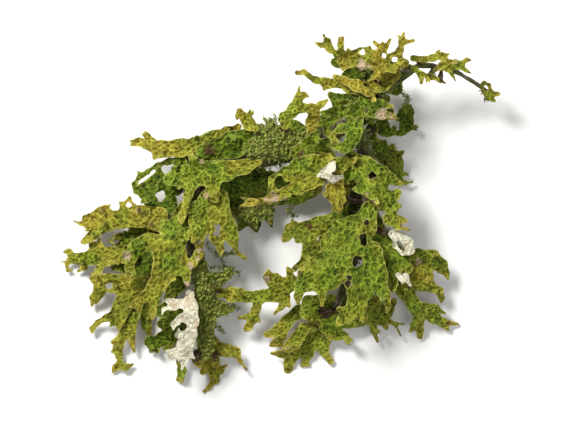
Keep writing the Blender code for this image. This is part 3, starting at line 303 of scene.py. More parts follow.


# ---- The fronds under the twig ------------------------------------------------------------
# The oldest fronds, mostly hidden, lie flat on the surface below the twig. Most are coloured dark,
# partly their own darker green and partly painted shade for the shade that the fronds above cast
# on them. A frond is a leathery sheet under a millimetre thick that branches like an antler; its
# upper side is green with a net of raised ridges, and its underside pale with brown felt where the ridges
# are.

# each branch: x, y, half width and height of its own along it
FRONDS_UNDER = {
    "lobe_under_crown": [
        [(33, 69, 3, 14), (45, 67.5, 5, 18), (56, 67.5, 5.2, 17), (59.5, 69.5, 3, 14)],
        [(56, 65, 4.2, 14), (58, 62.5, 2.8, 7), (55.5, 61, 1.5, 1)],
        [(27, 76, 2.2, 18), (36, 73.4, 3.6, 18), (47, 72, 3, 18)],
    ],
    "lobe_right_dark": [
        [(49.5, 42.6, 3, 12), (53, 42, 3.2, 12), (60, 43.5, 4.2, 9), (63, 48, 3.6, 4), (64.6, 51.5, 2, 1.4),
         (65, 54.5, 0.8, 0.4)],
        [(62, 44, 3.4, 6), (65.4, 43.5, 1.5, 4)],
        [(60, 49, 2.6, 6), (60, 52.5, 0.9, 5)],
        [(51, 43, 3, 11), (50.4, 48, 3, 9), (54.6, 51.4, 2, 7)],
    ],
    "lobe_right_ragged": [
        [(41, 36, 4.5, 16), (48, 33, 4.8, 14), (54, 29, 4.8, 11), (57, 25, 4.4, 9), (57.5, 20, 3.4, 7)],
        [(51, 34, 2.4, 7), (52, 36.3, 0.9, 5)],
        [(44, 38, 3.6, 14), (46, 43, 3, 12)],
        [(57, 29, 3, 7), (60.8, 31, 1.1, 5)],
        [(58, 20.5, 2.4, 6), (63.5, 19.8, 0.7, 4)],
        [(58, 18, 2.6, 6), (62.3, 15.6, 0.9, 4), (66, 16, 0.5, 3)],
    ],
    "lobe_right_back": [
        [(31, 10, 5, 11), (40, 2, 8, 16), (46, -12, 8, 14), (49, -25, 7, 11), (50, -36, 5, 9)],
        [(38, -6, 6, 15), (25, -12, 5.4, 10), (21.6, -22, 5, 7), (22, -34, 5, 8)],
        [(33, 8, 5, 12), (35, 17, 4.4, 12)],
    ],
    "lobe_middle_back": [
        [(13, 39, 4, 12), (26, 46, 6.5, 15), (36, 54, 6.5, 14), (46, 53, 5, 12), (52.5, 57.5, 2.4, 11)],
        [(30, 56, 5, 14), (24.6, 59.8, 1.6, 9)],
        [(34, 47, 5, 12), (44, 48.4, 3, 11)],
        [(14, 40, 3.4, 12), (7, 43.4, 3.4, 12), (2, 46.4, 2, 12)],
    ],
    "lobe_ridge_under": [
        [(-40, 14, 5, 15), (-28, 8, 6, 12), (-16, 5, 6, 10), (-6, 8, 4, 11), (8, 8.6, 3.8, 10),
         (17, 13, 4, 11)],
        [(-12, 27, 4.4, 15), (-14, 16, 4.4, 13), (-16, 7, 4, 10)],
        [(-30, 14, 5, 14), (-20, 16, 5, 13), (-6, 16.4, 5, 13), (4, 15.4, 3.6, 12)],
        [(-17, 0, 5.5, 7), (-13, -5, 3, 4), (-12.3, -8.4, 1.1, 3)],
        [(-19, -4, 3.4, 6), (-21, -7.6, 1.2, 4)],
        [(-8, 2, 4, 7), (-6, -2, 1.8, 6), (-4.9, -6, 0.9, 5)],
    ],
    "lobe_left_back": [
        [(-47, -4, 3.6, 15), (-56, -7, 5, 14), (-64, -16, 6, 12), (-68, -28, 6, 9), (-68, -40, 5, 7),
         (-67.5, -50, 3.8, 5)],
        [(-66, -13, 5, 9), (-74, -12, 4.4, 9), (-81, -13.4, 3.4, 8), (-85.5, -13.4, 1.2, 7)],
        [(-70, -20, 5, 9), (-78, -26, 3.6, 8), (-84, -27, 1.5, 7)],
        [(-56, -7, 4, 13), (-65, -6.4, 4, 12), (-73, -7.4, 3, 10)],
        [(-56, -12, 5, 13), (-52, -24, 5.6, 12), (-52.6, -35, 5, 10), (-56, -42, 3, 8)],
        [(-68.5, -50, 3, 7), (-67.4, -56, 2.4, 5), (-66.3, -60.2, 1.3, 3)],
    ],
    "lobe_lower_left_dark": [
        [(-49, -55, 3.4, 11), (-59, -62.5, 3.6, 7), (-64, -66.5, 2.6, 4), (-65.7, -69.3, 0.9, 3)],
        [(-61, -64, 3, 5), (-66.3, -63.4, 2.1, 5), (-67.3, -65, 1.3, 4)],
        [(-55, -61, 3.6, 6), (-56.5, -66, 2.6, 4), (-58.3, -68, 1.1, 3)],
        [(-54, -55, 3.4, 8), (-59.5, -55, 2.8, 7)],
        [(-50, -52, 3.6, 11), (-55, -47, 4.4, 10), (-61, -49, 3, 8)],
    ],
    "lobe_lower_left_long": [
        [(-73, -50, 3.2, 11), (-77, -56, 2.9, 10), (-79, -61, 2.6, 8), (-81.5, -66, 2.7, 6),
         (-81.2, -71, 1.9, 4), (-81, -74.5, 1.6, 3), (-83, -77.2, 1.8, 1), (-84.7, -79.6, 0.6, 0.6)],
        [(-80, -62, 2.2, 8), (-84.8, -64.2, 0.9, 8)],
        [(-82, -67, 2.2, 6), (-84.8, -69.2, 1, 5)],
        [(-81, -76, 1.8, 3), (-78, -77, 1.6, 3), (-74.4, -75.5, 0.6, 4)],
        [(-74, -53, 2.8, 11), (-75, -60, 2.2, 8), (-74.8, -65, 1.4, 6), (-73.7, -69, 0.8, 5)],
    ],
    "lobe_stem_foot": [
        [(-49, -64, 3, 12), (-50.4, -74, 2.2, 7), (-49.8, -79, 2, 4), (-51.9, -83.3, 1.1, 0.8)],
        [(-49.6, -78, 2, 5), (-49.7, -84.6, 0.8, 1.6)],
    ],
    "lobe_foot_claw": [
        [(-38, -58, 3, 10), (-36, -66, 5, 9), (-35, -74, 4, 6), (-33.6, -80, 3, 3),
         (-33.2, -83, 2.2, 1), (-36, -87, 1.1, 0.6), (-38.6, -89.2, 0.9, 0.6)],
        [(-34, -67, 4, 9), (-27, -68.5, 3.2, 9), (-22.7, -69.5, 2.4, 8), (-20.4, -74, 0.9, 6),
         (-17.2, -78.2, 0.45, 5)],
        [(-33, -77, 2.2, 5), (-30.4, -78.5, 1.8, 4), (-27.6, -76, 0.9, 4)],
        [(-39, -69, 3, 8), (-42.2, -73.6, 2.3, 5), (-41.5, -76.4, 1.1, 4)],
        [(-37, -75, 2.6, 6), (-39.2, -79.2, 1.7, 3)],
    ],
    "lobe_tail_left": [
        [(9, -49, 3.6, 10), (3, -53.5, 3, 9), (-1, -58, 3, 8), (-5, -60, 1.9, 7), (-7.6, -60.4, 1.5, 6)],
        [(3, -55, 2.8, 9), (0, -60.5, 2.3, 7), (-3.5, -65, 1.6, 5), (-5.2, -66, 0.9, 4)],
        [(1, -60, 2, 7), (-0.6, -65.6, 1.5, 5)],
    ],
    "lobe_tail_green": [
        [(18, -54, 3.6, 9), (14, -62, 4.4, 6), (10, -68, 4, 4), (5, -71.6, 3.4, 3), (3.7, -75, 2.6, 2),
         (3.6, -78, 2.3, 0.6)],
        [(5, -71, 2.2, 3), (-0.5, -70.4, 1.6, 4), (-4.6, -69.8, 0.9, 5)],
        [(17, -62, 4, 5), (14.6, -70.5, 1.8, 3), (12, -75, 1.7, 1), (10, -76.3, 0.7, 0.8)],
        [(12.4, -74, 1.6, 1.4), (13.8, -76, 0.7, 0.8)],
        [(18, -63, 4, 5), (21.4, -69, 2.3, 4), (25, -74, 1.7, 1)],
        [(19, -59, 3.4, 6), (23, -63.6, 2.2, 5), (23.3, -67.4, 0.8, 4)],
    ],
    "lobe_tail_brown": [
        [(11.6, -57.6, 3.2, 9), (8, -62, 3.4, 10), (4.5, -64.6, 2.1, 9),
         (1.4, -66.4, 0.9, 9)],
        [(9, -61, 3, 11), (7.4, -66, 1.9, 10), (4.5, -68.4, 0.8, 9), (-1, -68.3, 0.5, 9)],
    ],
    "lobe_hem": [
        [(13, -49, 4, 10), (24, -53, 5, 11), (34, -53.5, 4, 11), (46, -51, 4.6, 10), (53, -49, 3, 9),
         (56.5, -44, 1.8, 9)],
        [(14, -44.4, 3.8, 11), (25, -46, 5.4, 12), (36, -46.6, 5, 12), (47, -45, 4.6, 11)],
        [(25, -56, 4.4, 9), (28.6, -60.6, 3, 6), (32, -60.8, 2, 4)],
        [(22, -57, 3, 8), (24.8, -62.6, 1.3, 6)],
        [(46, -52, 3.6, 8), (46.4, -58, 1.7, 5), (48.4, -64, 0.8, 3)],
        [(50, -53, 2.6, 8), (53, -57, 1.3, 6)],
        [(53, -53, 1.8, 8), (57.4, -55.6, 0.8, 6), (60.1, -61.2, 0.4, 5)],
        [(56, -54.9, 0.8, 7), (61.6, -55.2, 0.6, 7)],
    ],
    "lobe_antler": [
        [(-76, -20, 4.6, 12), (-86, -21, 4.4, 10), (-94, -21.5, 4, 8), (-100, -22.5, 3.2, 6),
         (-104.5, -21.5, 2.2, 5), (-106.4, -19, 1.5, 5), (-108.6, -19, 0.8, 5)],
        [(-102, -23, 2.5, 6), (-107, -24, 0.9, 5), (-110, -24, 0.5, 5)],
        [(-105.6, -22, 1.4, 5), (-107.6, -26, 0.7, 3), (-107, -28.3, 0.8, 1.6), (-104.6, -28.3, 0.5, 1.6)],
        [(-99, -24, 2.4, 6), (-98.6, -26.8, 1.3, 2.4), (-102, -28.8, 0.8, 0.4)],
        [(-92, -19, 3, 8), (-94, -16, 2.2, 7), (-95.4, -15.4, 0.9, 6)],
        [(-91, -17, 2.4, 8), (-91.4, -12.4, 0.8, 8)],
        [(-88, -23, 3, 9), (-91.4, -28, 1.5, 8), (-94.4, -30, 0.8, 7)],
    ],
}
HOLES_UNDER = {
    "lobe_right_dark": [(57, 44.6, 1.7)],
    "lobe_left_back": [(-82.8, -13.4, 1.1)],
}
# how golden and how dark each one is; the darkness is partly the frond's own darker green and partly
# painted shade under the fronds above, and a darkness below nought is painted light
TONES_UNDER = {
    "lobe_under_crown": (0.1, 0.75),
    "lobe_right_dark": (0.0, 0.7),
    "lobe_right_ragged": (0.15, 0.6),
    "lobe_right_back": (0.1, 0.5),
    "lobe_middle_back": (0.1, 0.65),
    "lobe_ridge_under": (0.0, 0.8),
    "lobe_left_back": (0.2, 0.55),
    "lobe_lower_left_dark": (0.0, 0.65),
    "lobe_lower_left_long": (0.35, 0.3),
    "lobe_stem_foot": (0.2, 0.2),
    # painted light: a darkness below nought makes this low frond lighter, because it lies low and turns
    # away from the lamp
    "lobe_foot_claw": (0.5, -0.4),
    "lobe_tail_left": (0.25, 0.25),
    # painted light: a darkness below nought makes this low frond lighter, because it lies low and turns
    # away from the lamp
    "lobe_tail_green": (0.3, -0.3),
    "lobe_tail_brown": (0.6, 0.35),
    "lobe_hem": (0.2, 0.3),
    "lobe_antler": (0.45, 0.0),
}
LOBE_THICKNESS = 1.0         # the room that one takes in the heap
MOSS_THICKNESS = 2.2
CLEARANCE = 1.7              # free height kept between one sheet and the next
TWIG_CLEARANCE = 0.8
TWIG_SHOULDER = 0.6
TWIG_SHADOW = 1.5
SINUS_ROUNDING = 2.6         # how softly two branches of a frond join
NARROWEST = 1.0              # half width of a tip while the heap is stacked
NARROWEST_TIP = 0.42         # half width of a finished tip
MARGIN_DROOP = 0.32
UNDULATION = 0.9
LATTICE = 1.5
LATTICE_X = np.arange(-120.0, 121.0, LATTICE)
LATTICE_Y = np.arange(-102.0, 103.0, LATTICE)
REACH = 1.6 * LATTICE
NOTHING_ABOVE = 1e3
SETTLING_PASSES = 80
STIFFNESS = 0.05

PITCH = 0.40                 # the fronds' mesh
SNAP = 0.3 * PITCH
SHEET = 0.62                 # thickness of a finished frond
RIM_SHEET = 0.26             # and at its margin
CELL_SIZE = (1.3, 2.9)       # between the main ridges, in tips and in broad parts
FINE_CELL_SIZE = (0.85, 1.2)
RIDGE_HEIGHT = 0.62
HOLLOW_DEPTH = 0.50
RIDGE_WIDTH = 0.27
FINE_RIDGE_WIDTH = 0.22
CRUMPLE = 0.08               # small unevenness of the leathery skin
CELL_LENGTHENING = 1.3       # the net's cells are longer along the frond than across it
MARGIN_CURL = 1.3
BUCKLE = 1.6                 # the whole heap is buckled by this much either way
BUCKLE_SIZE = 7.0
SURFACE = 0.05               # a frond that lies on the surface stays this far above it
LONGEST_ROOT = 3.2           # felt grips what is nearer than this
LOOSE_ROOT = 0.9             # and is this long where it hangs free

FROND_GRAIN = 300.0          # patches to a metre
NET_SHARE = 0.68             # how much of a frond's colour follows the net of ridges,
SPECK_SHARE = 0.38           # the small specks
TONE_SHARE = 0.38            # and the broad mottling
# the hollow colours are very dark: partly the net's own colour, partly painted shade in the hollows between
# the ridges
GREEN_HOLLOW = (0.012, 0.036, 0.001)
GREEN_RIDGE = (0.33, 0.44, 0.034)
GOLD_HOLLOW = (0.125, 0.085, 0.002)
GOLD_RIDGE = (0.52, 0.47, 0.065)
DARK_AND_SHADE_HOLLOW = (0.006, 0.020, 0.001)
DARK_AND_SHADE_RIDGE = (0.15, 0.235, 0.014)
MARGIN_PALE = (0.50, 0.46, 0.14)
STAIN_BROWN = (0.085, 0.040, 0.018)
DEAD_PINK = (0.45, 0.34, 0.22)
FELT_BROWN = (0.24, 0.150, 0.080)
UNDERSIDE_CREAM = (0.78, 0.79, 0.62)
UNDERSIDE_TAN = (0.43, 0.35, 0.22)


def branch_fields(branches, narrowest, x, y):
    """The signed distance to a frond's margin, and its height, half width, direction and
    how far out towards the tips each point is."""
    distance = np.full(x.shape, 1e3)
    weight = np.zeros(x.shape)
    height = np.zeros(x.shape)
    width = np.zeros(x.shape)
    toward_x = np.zeros(x.shape)
    toward_y = np.zeros(x.shape)
    outward = np.zeros(x.shape)
    for branch in branches:
        points = np.array(branch, float)
        points[:, 2] = np.maximum(points[:, 2], narrowest)
        last = len(points) - 1
        for k, (a, b) in enumerate(zip(points[:-1], points[1:])):
            step = b[:2] - a[:2]
            share = ((x - a[0]) * step[0] + (y - a[1]) * step[1]) / max(step @ step, 1e-6)
            share = np.clip(share, 0.0, 1.0)
            gap = np.hypot(x - a[0] - share * step[0], y - a[1] - share * step[1])
            half = a[2] + share * (b[2] - a[2])
            away = gap - half
            blend = np.clip(0.5 + 0.5 * (away - distance) / SINUS_ROUNDING, 0.0, 1.0)
            merged = away * (1 - blend) + distance * blend
            distance = merged - SINUS_ROUNDING * 0.5 * blend * (1 - blend)
            closeness = np.exp(-np.clip(away, -20.0, 30.0) / 1.5)
            weight += closeness
            height += closeness * (a[3] + share * (b[3] - a[3]))
            width += closeness * half
            toward_x += closeness * step[0]
            toward_y += closeness * step[1]
            outward += closeness * (k + share) / last
    angle = np.arctan2(toward_y, toward_x)
    return distance, height / weight, width / weight, angle, outward / weight


def own_height(branches, number, x, y):
    """The height that a sheet would have with nothing in its way."""
    distance, height, width, _, _ = branch_fields(branches, NARROWEST, x, y)
    depth = np.clip(-distance / np.maximum(width, 0.5), 0.0, 1.0)
    droop = MARGIN_DROOP * width * (1.0 - depth) ** 2
    turn = number * 2.4
    waves = np.sin(x * 0.31 + y * 0.17 + turn) + np.sin(y * 0.37 - x * 0.12 + 2.0 * turn)
    return height - droop + UNDULATION * 0.5 * waves * np.clip(width / 4.0, 0.0, 1.0)


def buckled(height, x, y):
    """The heap's own unevenness, the same for all its layers, and none at the surface."""
    wave = 0.7 * patchy(x, y, 2.0 * BUCKLE_SIZE, 1) + 0.7 * patchy(x, y, BUCKLE_SIZE, 2)
    wave += 0.35 * patchy(x, y, 0.45 * BUCKLE_SIZE, 3)
    return height + BUCKLE * wave * np.clip((height - 3.0) / 8.0, 0.0, 1.0)


def with_holes(distance, holes, x, y):
    for hole_x, hole_y, radius in holes:
        distance = np.maximum(distance, radius - np.hypot(x - hole_x, y - hole_y))
    return distance


def softened(field):
    wide = np.pad(field, 1, mode="edge")
    cross = wide[2:, 1:-1] + wide[:-2, 1:-1] + wide[1:-1, 2:] + wide[1:-1, :-2]
    return 0.2 * field + 0.2 * cross


def widened(field):
    wide = np.pad(field, 1, mode="edge")
    field = np.maximum(field, np.maximum(wide[2:, 1:-1], wide[:-2, 1:-1]))
    return np.maximum(field, np.maximum(wide[1:-1, 2:], wide[1:-1, :-2]))


def read_smoothly(field, x, y):
    """Read a lattice field anywhere, keeping fields that lie over each other in order."""
    across = np.clip((x - LATTICE_X[0]) / LATTICE, 1.0, len(LATTICE_X) - 2.0)
    along = np.clip((y - LATTICE_Y[0]) / LATTICE, 1.0, len(LATTICE_Y) - 2.0)
    i = np.rint(across).astype(int)
    j = np.rint(along).astype(int)
    u = across - i
    v = along - j
    total = np.zeros(np.shape(x))
    shares_x = (0.5 * (0.5 - u) ** 2, 0.75 - u * u, 0.5 * (0.5 + u) ** 2)
    shares_y = (0.5 * (0.5 - v) ** 2, 0.75 - v * v, 0.5 * (0.5 + v) ** 2)
    for di, share_x in zip((-1, 0, 1), shares_x):
        for dj, share_y in zip((-1, 0, 1), shares_y):
            total += share_x * share_y * field[i + di, j + dj]
    return total


def twig_room():
    """The twig's upper and lower side over the lattice."""
    upper = np.zeros(lattice_x.shape)
    lower = np.full(lattice_x.shape, NOTHING_ABOVE)
    for points in TWIGS.values():
        nearest = np.full(lattice_x.shape, 1e3)
        middle = np.zeros(lattice_x.shape)
        radius = np.ones(lattice_x.shape)
        for a, b in zip(points[:-1], points[1:]):
            step_x = b[0] - a[0]
            step_y = b[1] - a[1]
            share = ((lattice_x - a[0]) * step_x + (lattice_y - a[1]) * step_y)
            share = np.clip(share / (step_x ** 2 + step_y ** 2), 0.0, 1.0)
            gap = np.hypot(lattice_x - a[0] - share * step_x, lattice_y - a[1] - share * step_y)
            closer = gap < nearest
            nearest = np.where(closer, gap, nearest)
            middle = np.where(closer, a[3] + share * (b[3] - a[3]), middle)
            radius = np.where(closer, a[2] + share * (b[2] - a[2]), radius)
        rise = np.sqrt(np.clip((radius + TWIG_SHOULDER) ** 2 - nearest ** 2, 0.0, None))
        upper = np.where(nearest < radius + TWIG_SHOULDER, np.maximum(upper, middle + rise), upper)
        shadow = nearest < radius + TWIG_SHADOW
        lower = np.where(shadow, np.minimum(lower, middle - radius), lower)
    return upper, lower


lattice_x, lattice_y = np.meshgrid(LATTICE_X, LATTICE_Y, indexing="ij")
twig_upper, twig_lower = twig_room()
heap_top = np.zeros(lattice_x.shape)       # the top of all that has been laid so far
laid = {}                                  # each sheet's own top
roots = []                                 # where felt ties a frond to what is below it
skins = []                                 # where a young lobe could spring from
bodies = []                                # each frond's underside


def lay_sheet(name, branches, holes, thick, ceiling):
    """Drape a sheet over the heap and keep the height of its top."""
    distance = branch_fields(branches, NARROWEST, lattice_x, lattice_y)[0]
    distance = with_holes(distance, holes, lattice_x, lattice_y)
    wish = own_height(branches, len(laid), lattice_x, lattice_y)
    near = distance < REACH
    floor = np.where(near & (heap_top > 0.0), heap_top + CLEARANCE + thick, thick)
    ceiling = np.maximum(ceiling, floor)
    height = np.minimum(np.maximum(wish, floor), ceiling)
    for _ in range(SETTLING_PASSES):
        height = (1.0 - STIFFNESS) * softened(height) + STIFFNESS * wish
        height = np.maximum(np.minimum(height, ceiling), floor)
    below = heap_top.copy()
    np.maximum(heap_top, height, out=heap_top, where=near)
    laid[name] = height
    return height, below


def frond_margin(branches, holes, seed, x, y):
    """The finished margin: the sheet's own outline, finely notched."""
    distance, _, width, _, _ = branch_fields(branches, NARROWEST_TIP, x, y)
    notches = 0.30 * patchy(x, y, 2.3, seed) + 0.16 * patchy(x, y, 1.1, seed + 1)
    distance = distance + notches * np.clip(width / 2.5, 0.3, 1.0)
    torn = [(hole_x, hole_y, 0.3 + 1.15 * radius) for hole_x, hole_y, radius in holes]
    return with_holes(distance, torn, x + 0.7 * patchy(x, y, 1.9, 91), y + 0.7 * patchy(x, y, 1.9, 92))


def flat_points(verts):
    return np.array([vert.co[:2] for vert in verts])


def thicken(bm, depth):
    """Give a sheet a second side, this far above the first, and an edge all round."""
    raised = bmesh.ops.extrude_face_region(bm, geom=bm.faces[:])["geom"]
    lifted = [item for item in raised if isinstance(item, bmesh.types.BMVert)]
    bmesh.ops.translate(bm, verts=lifted, vec=(0.0, 0.0, depth))
    bmesh.ops.recalc_face_normals(bm, faces=bm.faces[:])


def to_new_mesh(bm, name):
    mesh = bpy.data.meshes.new(name)
    bm.to_mesh(mesh)
    bm.free()
    return mesh


def cut_sheet(branches, holes, seed, pitch):
    """Cut a frond's flat shape out of a fine grid, with the grid drawn to its margin."""
    points = np.array([point for branch in branches for point in branch], float)
    spare = points[:, 2].max() + 1.5
    low = points[:, :2].min(0) - spare
    cells = np.ceil((points[:, :2].max(0) + spare - low) / pitch)
    bm = bmesh.new()
    bmesh.ops.create_grid(bm, x_segments=int(cells[0]), y_segments=int(cells[1]), size=0.5)
    bmesh.ops.translate(bm, verts=bm.verts[:], vec=(0.5, 0.5, 0.0))
    bmesh.ops.scale(bm, verts=bm.verts[:], vec=(*(cells * pitch), 1.0))
    bmesh.ops.translate(bm, verts=bm.verts[:], vec=(*low, 0.0))
    away = bm.verts.layers.float.new("away")
    flat = flat_points(bm.verts)
    field = frond_margin(branches, holes, seed, flat[:, 0], flat[:, 1])
    for vert, value in zip(bm.verts, field):
        vert[away] = value
    far = [vert for vert in bm.verts if vert[away] > 1.6 * pitch]
    bmesh.ops.delete(bm, geom=far, context="VERTS")

    beside = [vert for vert in bm.verts if abs(vert[away]) < SNAP]
    flat = flat_points(beside)
    here = frond_margin(branches, holes, seed, flat[:, 0], flat[:, 1])
    slope_x = frond_margin(branches, holes, seed, flat[:, 0] + 0.02, flat[:, 1]) - here
    slope_y = frond_margin(branches, holes, seed, flat[:, 0], flat[:, 1] + 0.02) - here
    steep = np.maximum(slope_x ** 2 + slope_y ** 2, 1e-5)
    for vert, dx, dy in zip(beside, here * slope_x * 0.02 / steep, here * slope_y * 0.02 / steep):
        vert.co.x -= dx
        vert.co.y -= dy
        vert[away] = 0.0

    crossing = [edge for edge in bm.edges if edge.verts[0][away] * edge.verts[1][away] < 0.0]
    for edge in crossing:
        first = edge.verts[0]
        share = first[away] / (first[away] - edge.verts[1][away])
        _, added = bmesh.utils.edge_split(edge, first, share)
        added[away] = 0.0
    rim = [vert for vert in bm.verts if vert[away] == 0.0]
    bmesh.ops.connect_verts(bm, verts=rim)
    outside = [vert for vert in bm.verts if vert[away] > 0.0]
    bmesh.ops.delete(bm, geom=outside, context="VERTS")
    doubtful = [face for face in bm.faces if all(vert[away] == 0.0 for vert in face.verts)]
    if doubtful:
        centres = np.array([face.calc_center_median()[:2] for face in doubtful])
        beyond = frond_margin(branches, holes, seed, centres[:, 0], centres[:, 1]) > 0.0
        stray = [face for face, out in zip(doubtful, beyond) if out]
        bmesh.ops.delete(bm, geom=stray, context="FACES")
    bmesh.ops.delete(bm, geom=[edge for edge in bm.edges if not edge.link_faces], context="EDGES")
    keep_largest(bm)
    bmesh.ops.delete(bm, geom=[vert for vert in bm.verts if not vert.link_faces], context="VERTS")
    bmesh.ops.triangulate(bm, faces=[face for face in bm.faces if len(face.verts) > 4])
    return bm


def keep_largest(bm):
    """Leave only the largest connected part of a sheet."""
    unseen = set(bm.faces)
    parts = []
    while unseen:
        part = [unseen.pop()]
        for face in part:
            for edge in face.edges:
                for beside in edge.link_faces:
                    if beside in unseen:
                        unseen.remove(beside)
                        part.append(beside)
        parts.append(part)
    parts.sort(key=len)
    for part in parts[:-1]:
        bmesh.ops.delete(bm, geom=part, context="FACES")


def net_seeds(branches, seed, closest, widest):
    """Scatter the middles of the net's cells, wide apart in broad parts and close in tips."""
    rng = np.random.default_rng(seed)
    points = np.array([point for branch in branches for point in branch], float)
    low = points[:, :2].min(0) - points[:, 2].max()
    high = points[:, :2].max(0) + points[:, 2].max()
    tries = rng.uniform(low, high, (int(np.prod(high - low) * 4.0 / closest) + 200, 2))
    distance, _, width, angle, _ = branch_fields(branches, NARROWEST_TIP, tries[:, 0], tries[:, 1])
    inside = distance < 1.2
    tries = tries[inside]
    spacing = np.clip(0.30 * width[inside] + closest * 0.65, closest, widest)
    angle = angle[inside]
    kept = [0]
    for k in range(1, len(tries)):
        gap = np.hypot(*(tries[kept] - tries[k]).T)
        if gap.min() > spacing[k]:
            kept.append(k)
    return tries[kept], angle[kept]


def cell_walls(branches, seed, closest, widest, x, y):
    """The distance from each point to the nearest wall of a net of cells, and that wall's height."""
    middles, angles = net_seeds(branches, seed, closest, widest)
    dx = x[:, None] - middles[None, :, 0]
    dy = y[:, None] - middles[None, :, 1]
    lengthwise = (dx * np.cos(angles) + dy * np.sin(angles)) / CELL_LENGTHENING
    crosswise = (dy * np.cos(angles) - dx * np.sin(angles)) * CELL_LENGTHENING
    reach = np.hypot(lengthwise, crosswise)
    two = np.argpartition(reach, 1, axis=1)[:, :2]
    pair = np.take_along_axis(reach, two, axis=1)
    strength = 0.68 + 0.32 * np.sin(two.sum(axis=1) * 12.9 + seed)
    return np.abs(pair[:, 0] - pair[:, 1]) / 2.0, strength


def ridge_net(branches, seed, x, y):
    """How much of a ridge and how much of a hollow each point of the frond is."""
    x = x + 0.5 * patchy(x, y, 1.7, seed + 3)
    y = y + 0.5 * patchy(x, y, 1.7, seed + 4)
    gap, strength = cell_walls(branches, seed, *CELL_SIZE, x, y)
    fine_gap, fine_strength = cell_walls(branches, seed + 1, *FINE_CELL_SIZE, x, y)
    ridge = strength * np.exp(-(gap / RIDGE_WIDTH) ** 2)
    wrinkle = 0.5 * fine_strength * np.exp(-(fine_gap / FINE_RIDGE_WIDTH) ** 2)
    hollow = 1.0 - np.exp(-(gap / 0.75) ** 2)
    return np.maximum(ridge, wrinkle), hollow


def spots_at(spots, x, y):
    """How deep in one of the marks each point is."""
    depth = np.zeros(x.shape)
    ragged = 1.0 + 0.45 * patchy(x, y, 2.2, 77) + 0.3 * patchy(x, y, 0.9, 78)
    for spot_x, spot_y, radius in spots:
        gap = np.hypot(x - spot_x, y - spot_y) / (radius * ragged)
        depth = np.maximum(depth, np.clip(2.0 * (1.0 - gap), 0.0, 0.9))
    return depth


def frond_marks(seed, tone, margin, width, outward, x, y):
    """The marks that colour a frond: pale rim, golden parts, dark parts that are partly painted shade,
    stains and dead parts.
    """
    golden, dark = tone
    tip = np.clip(1.2 - width / 2.2, 0.0, 1.0)
    rim = np.exp(-margin / 0.42) * (0.8 + 0.35 * patchy(x, y, 3.0, seed + 7))
    # the darkness: partly the frond's own darker green, partly painted shade for fronds that lie under
    # others; below nought it is painted light
    shade = dark + 0.32 * patchy(x, y, 6.0, seed + 8)
    ripe = golden + 0.35 * patchy(x, y, 8.0, seed + 9) + 0.35 * outward ** 2
    ripe += 0.3 * tip + 0.35 * np.exp(-margin / 2.2) * (0.6 + patchy(x, y, 4.0, seed + 13))
    browned = 0.55 * outward ** 5 * tip * (0.6 + patchy(x, y, 5.0, seed + 14))
    stain = np.maximum(spots_at(BROWN_SPOTS, x, y), browned)
    return {"rim": rim, "gold": ripe, "dark": shade, "stain": stain,
            "dead": spots_at(DEAD_SPOTS, x, y)}


